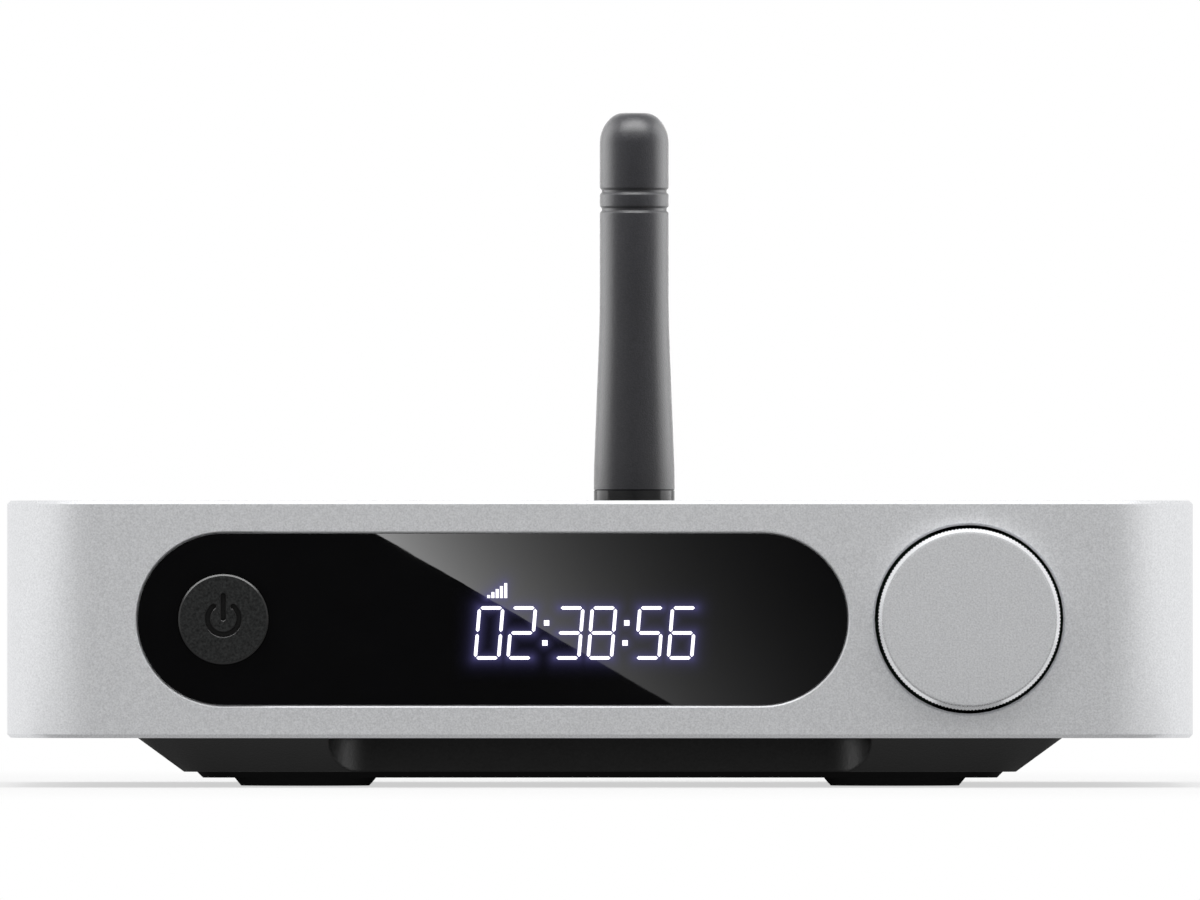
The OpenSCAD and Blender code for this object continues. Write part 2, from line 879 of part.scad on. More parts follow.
module encoder_housing() {
    color([0.12, 0.12, 0.12])
        translate([knob_x, encoder_y, mid_z])
            difference() {
                slab_y(encoder_w, encoder_h, encoder_t);
                translate([0, -cut, 0])
                    bar_y(shaft_r + 2 * run_gap, encoder_t - encoder_back_t + cut);
                translate([0, rotor_y - encoder_y - rotor_gap, 0])
                    bar_y(rotor_r + rotor_gap, rotor_t + 2 * rotor_gap);
            }
}

module encoder_bushing() {
    color("lightgray")
        translate([knob_x, 0, mid_z])
            difference() {
                union() {
                    translate([0, encoder_y - bushing_plate_t, 0])
                        slab_y(encoder_w, encoder_h, bushing_plate_t);
                    translate([0, bushing_y, 0])
                        bar_y(bushing_r, encoder_y - bushing_y);
                }
                translate([0, bushing_y - cut, 0])
                    bar_y(shaft_r + run_gap, encoder_y - bushing_y + 2 * cut);
            }
}

module encoder_rotor() {
    color("ivory")
        translate([knob_x, rotor_y, mid_z])
            difference() {
                bar_y(rotor_r, rotor_t);
                translate([0, -cut, 0])
                    d_bar_y(shaft_r + run_gap, shaft_flat + run_gap, rotor_t + 2 * cut);
            }
}

module encoder_shaft() {
    color("gray")
        translate([knob_x, shaft_tip_y, mid_z])
            d_bar_y(shaft_r, shaft_flat, shaft_end_y - shaft_tip_y);
}

module knob() {
    depth = knob_back_y - knob_front_y;
    hub_l = hub_back_y - knob_front_y;
    color("silver")
        translate([knob_x, knob_front_y, mid_z])
            difference() {
                union() {
                    along_y()
                        rotate_extrude()
                            polygon([
                                [0, 0], [knob_r - knob_bevel, 0], [knob_r, knob_bevel],
                                [knob_r, depth], [knob_r - knob_rim_t, depth],
                                [knob_r - knob_rim_t, knob_face_t], [0, knob_face_t]
                            ]);
                    translate([0, knob_face_t / 2, 0])
                        bar_y(hub_r, hub_l - knob_face_t / 2);
                }
                translate([0, knob_face_t, 0])
                    d_bar_y(shaft_r + run_gap / 2, shaft_flat + run_gap / 2, hub_l);
            }
}

// Boards

module front_board() {
    color("darkgreen")
        translate([0, fboard_y, mid_z])
            difference() {
                translate([fboard_x0, 0, -fboard_h / 2])
                    cube([fboard_x1 - fboard_x0, board_t, fboard_h]);
                for (p = post_places)
                    translate([p[0], -cut, p[1]])
                        bar_y(screw_r + seat_gap, board_t + 2 * cut);
            }
}

module main_board() {
    color("darkgreen")
        difference() {
            translate([-board_w / 2, board_front_y, board_z])
                cube([board_w, board_rear_y - board_front_y, board_t]);
            for (p = pillar_places)
                translate([p[0], p[1], board_z - cut])
                    cylinder(r = screw_r + seat_gap, h = board_t + 2 * cut);
        }
}

module board_screws() {
    bite = screw_bite + board_t - board_screw_gap;
    color("dimgray") {
        for (p = pillar_places)
            translate([p[0], p[1], board_top_z])
                screw(bite);
        for (p = post_places)
            translate([p[0], fboard_back_y, mid_z + p[1]])
                along_y()
                    screw(bite);
    }
}

module ribbon_socket_front() {
    color("ivory")
        translate([ribbon_x, fboard_back_y, ribbon_z])
            difference() {
                slab_y(socket_w, socket_depth, socket_t);
                translate([0, socket_t / 2, 0])
                    slab_y(ribbon_w + 2 * seat_gap, ribbon_t + 2 * run_gap, socket_t);
            }
}

module ribbon_socket_main() {
    color("ivory")
        translate([ribbon_x, ribbon_drop_y, board_top_z])
            difference() {
                translate([-socket_w / 2, -socket_depth / 2, 0])
                    cube([socket_w, socket_depth, socket_t]);
                translate([-ribbon_w / 2 - seat_gap, -ribbon_t / 2 - run_gap, socket_t / 2])
                    cube([ribbon_w + 2 * seat_gap, ribbon_t + 2 * run_gap, socket_t]);
            }
}

// A flat strip that leaves the front socket, bends once and drops into the main board's socket
module ribbon_cable() {
    start_y = fboard_back_y + socket_t / 2 + run_gap;
    end_z = board_top_z + socket_t / 2 + run_gap;
    bend_y = ribbon_drop_y - ribbon_bend;
    bend_z = ribbon_z - ribbon_bend;
    color("white")
        translate([ribbon_x - ribbon_w / 2, 0, 0]) {
            translate([0, start_y, ribbon_z - ribbon_t / 2])
                cube([ribbon_w, bend_y - start_y, ribbon_t]);
            translate([0, bend_y, bend_z])
                rotate([90, 0, 90])
                    rotate_extrude(angle = 90)
                        translate([ribbon_bend - ribbon_t / 2, 0])
                            square([ribbon_t, ribbon_w]);
            translate([0, ribbon_drop_y - ribbon_t / 2, end_z])
                cube([ribbon_w, ribbon_t, bend_z - end_z]);
        }
}

module wireless_board() {
    color("navy")
        translate([wireless_x - wireless_w / 2, wireless_y, board_top_z])
            cube([wireless_w, wireless_d, wireless_t]);
}

module wireless_shield() {
    color("lightgray")
        translate([wireless_x - wireless_w / 2, wireless_y, board_top_z + wireless_t])
            translate([shield_margin, shield_margin, 0])
                cube([wireless_w - 2 * shield_margin, shield_d, shield_t]);
}

module processor() {
    color([0.1, 0.1, 0.1])
        translate([processor_x - processor_side / 2, processor_y - processor_side / 2, board_top_z])
            cube([processor_side, processor_side, processor_t]);
}

module heat_spreader() {
    side = spreader_side;
    pitch = (side - fin_t) / (fin_count - 1);
    color("dimgray")
        translate([processor_x - side / 2, processor_y - side / 2, board_top_z + processor_t]) {
            cube([side, side, spreader_t]);
            for (i = [0 : fin_count - 1])
                translate([i * pitch, 0, 0])
                    cube([fin_t, side, spreader_t + fin_h]);
        }
}

module converter_chip() {
    color([0.1, 0.1, 0.1])
        translate([converter_x, converter_y, board_top_z])
            cube(converter_size);
}

module filter_capacitors() {
    color("midnightblue")
        for (i = [0 : capacitor_count - 1])
            translate([capacitor_x + capacitor_pitch * i, capacitor_y, board_top_z])
                cylinder(r = capacitor_r, h = capacitor_h);
}

// Rear panel and jacks

module panel_blank() {
    plug_d = panel_face_y - inner_rear_y;
    translate([0, panel_y, panel_mid_z])
        slab_y(panel_w, panel_h, panel_t);
    translate([0, inner_rear_y - cut, panel_mid_z])
        slab_y(rear_open_w - 2 * seat_gap, rear_open_h - 2 * seat_gap, plug_d + cut);
}

// What lies on one side of the seam between the two panels: 1 is the line outputs' side, -1 the other
module panel_side(side) {
    translate([panel_split_x + side * (panel_w - seat_gap) / 2, panel_y - cut, panel_mid_z])
        slab_y(panel_w, panel_h + 2 * cut, panel_t + case_wall + 2 * cut);
}

module rear_panel() {
    color([0.05, 0.05, 0.05])
        difference() {
            panel_blank();
            panel_side(1);
            panel_hole(lan_x, board_top_z + lan_h / 2, lan_w, lan_h);
            panel_hole(host_x, host_z + host_h / 2, host_w, host_h);
            translate([power_x, panel_y - cut, inlet_z])
                stadium(inlet_w + 2 * port_gap, inlet_h + 2 * port_gap, panel_t + case_wall + 2 * cut);
            panel_hole(optical_x, optical_z + optical_h / 2, optical_w, optical_h);
            translate([antenna_x, panel_y - cut, antenna_z])
                bar_y(thread_r + seat_gap, panel_t + case_wall + 2 * cut);
        }
}

module line_out_panel() {
    color([0.05, 0.05, 0.05])
        difference() {
            panel_blank();
            panel_side(-1);
            for (i = [0, 1])
                translate([line_x + i * line_pitch, panel_y - cut, line_z])
                    bar_y(line_shoulder_r + port_gap, panel_t + case_wall + 2 * cut);
        }
}

module panel_hole(x, z, w, h) {
    translate([x, panel_y - cut, z])
        slab_y(w + 2 * port_gap, h + 2 * port_gap, panel_t + case_wall + 2 * cut);
}

module lan_shield() {
    color("lightgray")
        translate([lan_x, lan_face_y - lan_d, board_top_z + lan_h / 2])
            difference() {
                slab_y(lan_w, lan_h, lan_d);
                translate([0, lan_shield_t, 0])
                    slab_y(lan_w - 2 * lan_shield_t, lan_h - 2 * lan_shield_t, lan_d);
            }
}

module lan_insert() {
    w = lan_w - 2 * lan_shield_t - 2 * run_gap;
    h = lan_h - 2 * lan_shield_t - 2 * run_gap;
    y0 = lan_face_y - lan_d + lan_shield_t + run_gap;
    mouth_y = lan_face_y - lan_mouth_d;
    color([0.08, 0.08, 0.08])
        difference() {
            translate([lan_x, y0, board_top_z + lan_h / 2])
                slab_y(w, h, lan_face_y - lan_insert_recess - y0);
            translate([lan_x - lan_mouth_w / 2, mouth_y, lan_mouth_z])
                cube([lan_mouth_w, lan_mouth_d + cut, lan_mouth_h]);
            translate([lan_x - lan_latch_w / 2, mouth_y, lan_mouth_z - lan_latch_h])
                cube([lan_latch_w, lan_mouth_d + cut, lan_latch_h + cut]);
        }
}

module lan_contacts() {
    first = lan_x - (lan_wire_count - 1) / 2 * lan_pitch - lan_wire[0] / 2;
    color("gold")
        for (i = [0 : lan_wire_count - 1])
            translate([first + i * lan_pitch, lan_wire_y, lan_mouth_z + lan_mouth_h - lan_wire_drop])
                rotate([lan_wire_tilt, 0, 0])
                    cube(lan_wire);
}

module host_port_shell() {
    color("lightgray")
        translate([host_x, host_face_y - host_d, host_z + host_h / 2])
            difference() {
                slab_y(host_w, host_h, host_d);
                translate([0, host_wall, 0])
                    slab_y(host_w - 2 * host_wall, host_h - 2 * host_wall, host_d);
            }
}

module host_port_tongue() {
    w = host_w - 2 * host_wall - 2 * run_gap;
    h = host_h - 2 * host_wall - 2 * run_gap;
    y0 = host_face_y - host_d + host_wall + run_gap;
    color("white")
        translate([host_x, y0, host_z + host_h / 2]) {
            slab_y(w, h, host_block_d);
            translate([-host_tongue_w / 2, 0, h / 2 - host_tongue_t - host_tongue_gap])
                cube([host_tongue_w, host_block_d + host_tongue_d, host_tongue_t]);
        }
}

module power_inlet_shell() {
    color("lightgray")
        translate([power_x, inlet_face_y - inlet_d, inlet_z])
            difference() {
                stadium(inlet_w, inlet_h, inlet_d);
                translate([0, inlet_wall, 0])
                    stadium(inlet_w - 2 * inlet_wall, inlet_h - 2 * inlet_wall, inlet_d);
            }
}

module power_inlet_tongue() {
    w = inlet_w - 2 * inlet_wall - 2 * run_gap;
    h = inlet_h - 2 * inlet_wall - 2 * run_gap;
    color([0.08, 0.08, 0.08])
        translate([power_x, inlet_face_y - inlet_d + inlet_wall + run_gap, inlet_z]) {
            stadium(w, h, inlet_block_d);
            slab_y(inlet_tongue_w, inlet_tongue_t, inlet_block_d + inlet_tongue_d);
        }
}

module optical_housing() {
    inner_w = optical_w - 2 * optical_wall;
    inner_h = optical_h - 2 * optical_wall;
    mouth_d = optical_d - optical_wall - emitter_t;
    color([0.07, 0.07, 0.07])
        difference() {
            translate([optical_x, optical_face_y - optical_d, optical_z + optical_h / 2])
                slab_y(optical_w, optical_h, optical_d);
            translate([optical_x, optical_face_y - mouth_d, optical_z + optical_h / 2])
                slab_y(inner_w, inner_h, mouth_d + cut);
            translate([optical_x, optical_face_y - optical_d - cut, optical_z + optical_h / 2])
                slab_y(emitter_w + 2 * seat_gap, emitter_w + 2 * seat_gap, emitter_t + cut);
            translate([optical_x, optical_face_y - optical_d, optical_z + optical_h / 2])
                bar_y(light_hole_r, optical_d);
            translate([optical_x, shutter_y, shutter_z])
                rotate([0, 90, 0])
                    cylinder(r = shutter_pin_r + run_gap, h = shutter_pin_l + 2 * seat_gap, center = true);
        }
}

module optical_emitter() {
    color([0.1, 0.1, 0.1])
        translate([optical_x, optical_face_y - optical_d, optical_z + optical_h / 2])
            slab_y(emitter_w, emitter_w, emitter_t);
}

// A sprung flap on two stub pins, which a plug pushes in and up
module optical_shutter() {
    w = optical_w - 2 * optical_wall - 2 * shutter_gap;
    h = optical_h - 2 * optical_wall - 2 * shutter_gap - shutter_t / 2;
    color([0.2, 0.2, 0.2])
        translate([optical_x, shutter_y, shutter_z]) {
            translate([-w / 2, -shutter_t / 2, -h])
                cube([w, shutter_t, h]);
            rotate([0, 90, 0])
                cylinder(r = shutter_pin_r, h = shutter_pin_l, center = true);
        }
}

module line_out_block() {
    w = line_pitch + 2 * line_block_margin;
    color([0.08, 0.08, 0.08])
        difference() {
            translate([line_x - line_block_margin, line_block_y, board_top_z])
                cube([w, line_block_d, line_block_h]);
            for (i = [0, 1])
                translate([line_x + i * line_pitch, 0, line_z]) {
                    translate([0, panel_y - line_flange_t - seat_gap, 0])
                        bar_y(line_flange_r + seat_gap, line_flange_t + seat_gap + cut);
                    translate([0, line_root_y, 0])
                        bar_y(line_shoulder_r + seat_gap, panel_y - line_root_y + cut);
                }
        }
}

module line_out_barrel(x) {
    color("gold")
        translate([x, 0, line_z])
            difference() {
                union() {
                    translate([0, line_root_y + seat_gap, 0])
                        bar_y(line_shoulder_r, rear_y - line_root_y - seat_gap);
                    translate([0, rear_y - cut, 0])
                        bar_y(line_r, line_proud + cut);
                    translate([0, panel_y - line_flange_t, 0])
                        bar_y(line_flange_r, line_flange_t - run_gap);
                }
                translate([0, line_root_y, 0])
                    bar_y(line_r - line_wall, line_face_y - line_root_y + cut);
            }
}

module line_out_insert(x, tint) {
    front = line_face_y - line_insert_recess;
    back = line_root_y + seat_gap;
    color(tint)
        translate([x, 0, line_z])
            difference() {
                translate([0, back, 0])
                    bar_y(line_r - line_wall - run_gap, front - back);
                translate([0, front - line_hole_d, 0])
                    bar_y(line_hole_r, line_hole_d + cut);
                translate([0, front - line_hole_d, 0])
                    bar_y(line_contact_r + run_gap, line_contact_d + run_gap);
            }
}

module line_out_contacts() {
    front = line_face_y - line_insert_recess;
    color("gold")
        for (i = [0, 1])
            translate([line_x + i * line_pitch, front - line_hole_d, line_z])
                difference() {
                    bar_y(line_contact_r, line_contact_d);
                    translate([0, -cut, 0])
                        bar_y(line_hole_r, line_contact_d + 2 * cut);
                }
}

// Antenna socket, lead and hinged antenna

module antenna_socket() {
    color("goldenrod")
        translate([antenna_x, 0, antenna_z])
            difference() {
                union() {
                    translate([0, panel_y - socket_body_t, 0])
                        along_y()
                            cylinder(r = socket_body_r, h = socket_body_t - run_gap, $fn = 6);
                    translate([0, panel_y - socket_body_t, 0])
                        bar_y(thread_r, rear_y + thread_out - panel_y + socket_body_t);
                    translate([0, panel_y - socket_body_t - ferrule_l, 0])
                        bar_y(ferrule_r, ferrule_l + cut);
                }
                translate([0, socket_bore_y, 0])
                    bar_y(socket_bore_r, thread_out);
            }
}

module antenna_socket_nut() {
    color("goldenrod")
        translate([antenna_x, panel_face_y + run_gap, antenna_z])
            difference() {
                along_y()
                    cylinder(r = socket_nut_r, h = socket_nut_t, $fn = 6);
                translate([0, -cut, 0])
                    bar_y(thread_r + run_gap, socket_nut_t + 2 * cut);
            }
}

// The thin coaxial lead from the socket to the plug on the wireless module, with the plug
module antenna_lead() {
    start_y = panel_y - socket_body_t - ferrule_l;
    end_y = lead_y;
    bend_y = end_y + lead_bend;
    bend_z = antenna_z - lead_bend;
    plug_z = board_top_z + wireless_t;
    color([0.15, 0.15, 0.15])
        translate([antenna_x, 0, 0]) {
            translate([0, bend_y, antenna_z])
                bar_y(lead_r, start_y - bend_y);
            translate([0, bend_y, bend_z])
                rotate([90, 0, -90])
                    rotate_extrude(angle = 90)
                        translate([lead_bend, 0])
                            circle(r = lead_r);
            translate([0, end_y, plug_z])
                cylinder(r = lead_r, h = bend_z - plug_z);
            translate([0, end_y, plug_z])
                cylinder(r = plug_r, h = plug_t);
        }
}

module antenna_nut() {
    color([0.1, 0.1, 0.1])
        translate([antenna_x, antenna_nut_y, antenna_z])
            difference() {
                bar_y(antenna_nut_r, antenna_nut_l);
                translate([0, -cut, 0])
                    bar_y(thread_r + run_gap, antenna_nut_l - journal_l - journal_step + cut);
                translate([0, -cut, 0])
                    bar_y(journal_r + run_gap, antenna_nut_l + 2 * cut);
            }
}

module antenna_elbow() {
    slot_w = tongue_t + 2 * tongue_gap;
    slot_y = hinge_y - ear_r - slot_gap;
    color([0.12, 0.12, 0.12])
        translate([antenna_x, 0, antenna_z])
            difference() {
                union() {
                    translate([0, elbow_y - journal_l, 0])
                        bar_y(journal_r, journal_l + cut);
                    translate([0, elbow_y, 0])
                        bar_y(mast_foot_r, hinge_y - elbow_y);
                    intersection() {
                        translate([0, hinge_y - cut, 0])
                            bar_y(mast_foot_r, mast_foot_r + 2 * cut);
                        translate([0, hinge_y, 0])
                            rotate([0, 90, 0])
                                cylinder(r = ear_r, h = mast_foot_d, center = true);
                    }
                }
                translate([0, slot_y, 0])
                    slab_y(slot_w, mast_foot_d + 2 * cut, hinge_y - slot_y + mast_foot_d);
                translate([0, hinge_y, 0])
                    rotate([0, 90, 0])
                        cylinder(r = pin_r + run_gap / 2, h = mast_foot_d + 2 * cut, center = true);
            }
}

module antenna_hinge_pin() {
    color("gray")
        translate([antenna_x, hinge_y, antenna_z])
            rotate([0, 90, 0])
                cylinder(r = pin_r, h = mast_foot_d - 2 * pin_inset, center = true);
}

module antenna_collar() {
    color([0.12, 0.12, 0.12])
        translate([antenna_x, hinge_y, 0])
            difference() {
                union() {
                    translate([0, 0, collar_z])
                        cylinder(r = mast_foot_r, h = collar_top_z - collar_z);
                    translate([0, 0, collar_top_z - cut])
                        cylinder(r = spigot_r, h = spigot_l + cut);
                    intersection() {
                        translate([-tongue_t / 2, -ear_r, antenna_z - ear_r])
                            cube([tongue_t, 2 * ear_r, collar_z + cut - antenna_z + ear_r]);
                        union() {
                            translate([0, 0, antenna_z])
                                rotate([0, 90, 0])
                                    cylinder(r = ear_r, h = tongue_t + cut, center = true);
                            translate([-tongue_t, -ear_r, antenna_z])
                                cube([2 * tongue_t, 2 * ear_r, collar_z + cut - antenna_z]);
                        }
                    }
                }
                translate([0, 0, antenna_z])
                    rotate([0, 90, 0])
                        cylinder(r = pin_r + run_gap, h = tongue_t + 2 * cut, center = true);
            }
}

// The tapered sleeve with a domed, flat-topped tip and two grooves
module antenna_sleeve() {
    taper_z = antenna_z + mast_taper_end;
    grooves = [
        for (i = [len(groove_places) - 1 : -1 : 0])
            let (z = groove_places[i])
                each [
                    [mast_tip_r, z - groove_half], [mast_tip_r - groove_depth, z - groove_lip],
                    [mast_tip_r - groove_depth, z + groove_lip], [mast_tip_r, z + groove_half]
                ]
    ];
    color([0.2, 0.2, 0.21])
        translate([antenna_x, hinge_y, 0])
            difference() {
                rotate_extrude() {
                    polygon(concat(
                        [[0, collar_top_z], [mast_foot_r, collar_top_z]],
                        [[mast_foot_r, collar_top_z + mast_straight], [mast_tip_r, taper_z]],
                        grooves, [[mast_tip_r, mast_dome_z], [0, mast_dome_z]]
                    ));
                    translate([0, mast_dome_z])
                        intersection() {
                            circle(r = mast_tip_r);
                            square([mast_tip_r, mast_top_z - mast_dome_z]);
                        }
                }
                translate([0, 0, collar_top_z - cut])
                    cylinder(r = mast_bore_r, h = mast_dome_z - collar_top_z + cut);
            }
}

module antenna_radiator() {
    foot_z = collar_top_z + spigot_l;
    color("peru")
        translate([antenna_x, hinge_y, foot_z]) {
            cylinder(r = mast_bore_r - radiator_gap, h = radiator_tube_l);
            cylinder(r = radiator_r, h = mast_dome_z - foot_z - radiator_tip_gap);
        }
}

shell();
base_tray();
sole_plate();
foot(-1, -1);  // foot_front_left
foot(1, -1);  // foot_front_right
foot(-1, 1);  // foot_rear_left
foot(1, 1);  // foot_rear_right
base_screws();
rear_panel();
line_out_panel();
display_window();
window_tape();
lcd_glass();
lcd_backlight();
lcd_holder();
front_board();
main_board();
board_screws();
power_switch();
switch_plunger();
power_button();
encoder_housing();
encoder_bushing();
encoder_rotor();
encoder_shaft();
knob();
ribbon_cable();
ribbon_socket_front();
ribbon_socket_main();
wireless_board();
wireless_shield();
processor();
heat_spreader();
converter_chip();
filter_capacitors();
lan_shield();
lan_insert();
lan_contacts();
host_port_shell();
host_port_tongue();
power_inlet_shell();
power_inlet_tongue();
optical_housing();
optical_emitter();
optical_shutter();
line_out_block();
line_out_barrel(line_x + line_pitch);  // line_out_barrel_left
line_out_barrel(line_x);  // line_out_barrel_right
line_out_insert(line_x + line_pitch, "white");  // line_out_insert_left
line_out_insert(line_x, "firebrick");  // line_out_insert_right
line_out_contacts();
antenna_socket();
antenna_socket_nut();
antenna_lead();
antenna_nut();
antenna_elbow();
antenna_hinge_pin();
antenna_collar();
antenna_sleeve();
antenna_radiator();
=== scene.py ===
# %% [markdown]
# # A desktop network streamer, dressed for its portrait
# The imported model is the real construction: every piece at its real size and place. This lesson leaves
# those pieces where they are and gives them their finishes, and it swaps a few of them for finer meshes.
# Everything is in metres. +X is right seen from the front, +Y runs to the rear and +Z is up.

import json
import math

import bmesh
import bpy
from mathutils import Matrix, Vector


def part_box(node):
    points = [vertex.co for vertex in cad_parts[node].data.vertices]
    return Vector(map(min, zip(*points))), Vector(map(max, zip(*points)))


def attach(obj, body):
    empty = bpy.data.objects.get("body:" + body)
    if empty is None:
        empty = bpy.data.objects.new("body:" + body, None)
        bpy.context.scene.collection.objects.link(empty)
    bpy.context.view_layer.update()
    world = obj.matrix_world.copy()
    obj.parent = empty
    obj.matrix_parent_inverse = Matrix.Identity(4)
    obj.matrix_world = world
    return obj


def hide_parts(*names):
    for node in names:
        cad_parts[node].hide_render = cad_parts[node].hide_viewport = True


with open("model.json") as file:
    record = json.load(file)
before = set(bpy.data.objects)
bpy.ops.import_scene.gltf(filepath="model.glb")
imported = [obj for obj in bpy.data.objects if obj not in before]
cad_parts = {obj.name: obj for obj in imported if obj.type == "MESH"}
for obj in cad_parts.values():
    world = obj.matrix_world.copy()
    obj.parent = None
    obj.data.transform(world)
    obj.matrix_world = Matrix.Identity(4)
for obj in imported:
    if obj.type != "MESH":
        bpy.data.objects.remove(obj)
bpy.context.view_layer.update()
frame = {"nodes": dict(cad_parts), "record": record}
nodes = frame["nodes"]
scene = bpy.context.scene
MM = 0.001

# %% [markdown]
# ## Small tools
# A few helpers carry the whole lesson. One turns a hex colour, as a paint chart gives it, into the linear
# numbers that the renderer works with. One adds a shader node with its settings and its links. The last
# starts a material with the all-round Principled shader, so each finish only says what is special about it.

# %% Colour, node and material helpers
def linear(hex_colour):
    """An sRGB hex colour such as #B4B5B7 as linear red, green, blue and alpha."""
    shares = [int(hex_colour[i:i + 2], 16) / 255 for i in (1, 3, 5)]
    bright = [s / 12.92 if s <= 0.04045 else ((s + 0.055) / 1.055) ** 2.4 for s in shares]
    return (*bright, 1.0)


def add_node(tree, kind, inputs=None, **settings):
    """Adds a node. An input that is given a socket, or a node for its first output, is linked to it, and any
    other value is set."""
    node = tree.nodes.new(kind)
    for name, value in settings.items():
        setattr(node, name, value)
    for key, value in (inputs or {}).items():
        if isinstance(value, bpy.types.Node):
            value = value.outputs[0]
        if isinstance(value, bpy.types.NodeSocket):
            tree.links.new(value, node.inputs[key])
        else:
            node.inputs[key].default_value = value
    return node


def empty_material(name):
    """A material without nodes, and its node tree."""
    material = bpy.data.materials.new(name)
    material.use_nodes = True
    material.node_tree.nodes.clear()
    return material, material.node_tree


def start_material(name, colour, **sockets):
    """A material with one Principled shader. Words in a socket's name are joined by underscores."""
    material, tree = empty_material(name)
    values = {key.replace("_", " "): value for key, value in sockets.items()}
    values["Base Color"] = colour
    shader = add_node(tree, "ShaderNodeBsdfPrincipled", values)
    add_node(tree, "ShaderNodeOutputMaterial", {"Surface": shader})
    return material, tree, shader


print("helpers ready, mid grey is", round(linear("#808080")[0], 3))

# %% [markdown]
# ## The camera
# The portrait is taken square on, from far away with a long lens, so the top and the sides stay hidden and
# the width of the case fills the picture. The lens is as long as the picture needs, and a small shift
# lifts the frame so that the camera itself can stay at the height of the case.

# %% Camera square on the front
shell_lo, shell_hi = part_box("shell")
PICTURE_W = 121.2 * MM
PICTURE_MID_Z = 34.05 * MM
CAMERA_Z = 25 * MM
LENS_MM = 1200.0
SENSOR_MM = 36.0
CAMERA_REACH = 20.0
camera_distance = PICTURE_W * LENS_MM / SENSOR_MM

camera_data = bpy.data.cameras.new("portrait_camera")
camera_data.lens = LENS_MM
camera_data.sensor_width = SENSOR_MM
camera_data.shift_y = (PICTURE_MID_Z - CAMERA_Z) / PICTURE_W
camera_data.clip_end = CAMERA_REACH
camera = bpy.data.objects.new("portrait_camera", camera_data)
camera.location = (0, shell_lo.y - camera_distance, CAMERA_Z)
camera.rotation_euler = (math.radians(90), 0, 0)
scene.collection.objects.link(camera)
scene.camera = camera
scene.view_settings.view_transform = "Standard"
print("camera stands", round(camera_distance, 2), "m in front of the case")

# %% [markdown]
# ## The studio
# A product portrait on white has a white sweep all round, two large soft lights above and one on each side.
# The sweep is the world's colour, and rays that come from the camera, from metal or from gloss all see it.
# Soft surfaces get a calmer share of it, so the four soft lights still shape them.

# %% White sweep
WHITE = linear("#FFFFFF")
AMBIENT = 0.6

world = bpy.data.worlds.new("white_sweep")
scene.world = world
world.use_nodes = True
sweep = world.node_tree
sweep.nodes.clear()


def seen_directly(tree):
    """1 for rays from the camera, from gloss and through glass, and 0 for the rest."""
    ray = add_node(tree, "ShaderNodeLightPath").outputs
    first = add_node(tree, "ShaderNodeMath", {0: ray["Is Camera Ray"], 1: ray["Is Glossy Ray"]},
                     operation="MAXIMUM")
    both = add_node(tree, "ShaderNodeMath", {0: first, 1: ray["Is Transmission Ray"]}, operation="MAXIMUM")
    return both


strength = add_node(sweep, "ShaderNodeMapRange",
                    {"Value": seen_directly(sweep), "To Min": AMBIENT, "To Max": 1.0})
background = add_node(sweep, "ShaderNodeBackground", {"Color": WHITE, "Strength": strength})
add_node(sweep, "ShaderNodeOutputWorld", {"Surface": background})
print("sweep is white, ambient share", AMBIENT)

# %% [markdown]
# Lamps could be given by their power, but then a larger lamp would look dimmer. Here each lamp is given by
# how bright its face looks, and its power follows from its size.

# %% Soft lights, given by how bright their faces look
SIDES = ((-1, "left"), (1, "right"))
SIDE_OFF = 0.85
SIDE_AHEAD = 0.1
SIDE_Z = 0.35
SIDE_W = 0.9
SIDE_RADIANCE = 1.0
ABOVE_Z = 0.8
ABOVE_W = 0.7
ABOVE_D = 0.5
ABOVE_RADIANCE = 2.0
BROW_AHEAD = 0.26
BROW_Z = 0.82
BROW_W = 0.9
BROW_D = 0.34
BROW_RADIANCE = 1.2


def softbox(name, place, aim, width, height, radiance):
    """A soft light whose face has this radiance, where 1 is as bright as white paper."""
    lamp = bpy.data.lights.new(name, "AREA")
    lamp.shape = "RECTANGLE"
    lamp.size = width
    lamp.size_y = height
    lamp.energy = radiance * math.pi * width * height
    light = bpy.data.objects.new(name, lamp)
    light.location = place
    light.rotation_euler = (Vector(aim) - Vector(place)).to_track_quat("-Z", "Y").to_euler()
    light.visible_camera = False
    scene.collection.objects.link(light)
    return light


middle = (shell_lo + shell_hi) / 2
unmirrored = [softbox("soft_light_" + word, (side * SIDE_OFF, middle.y - SIDE_AHEAD, SIDE_Z), middle,
                      SIDE_W, SIDE_W, SIDE_RADIANCE) for side, word in SIDES]
above = (0, middle.y, ABOVE_Z)
unmirrored.append(softbox("soft_light_above", above, middle, ABOVE_W, ABOVE_D, ABOVE_RADIANCE))
for light in unmirrored:
    light.visible_glossy = False
softbox("soft_light_brow", (0, middle.y - BROW_AHEAD, BROW_Z), middle, BROW_W, BROW_D, BROW_RADIANCE)
print("four soft lights, and gloss sees only the one at the brow")

# %% [markdown]
# ## The floor
# The object stands on white paper. A plain white sheet would turn grey under these lights and show its far
# edge, so three things are mixed. Near the object the paper is lit and keeps the shadow. It also glows a
# little, and under the object a painted shadow takes that glow away for gloss alone, so that a black base
# mirrors dark below it. Farther out the paper fades to the pure white of the sweep.

# %% Glow of the paper, with a painted shadow under the object for gloss
TABLE_GLOW = 0.38
TABLE_SEEN_GLOW = 0.6
SHADE_HALF = Vector((0.052, 0.038, 0))
SHADE_EDGE = 0.01

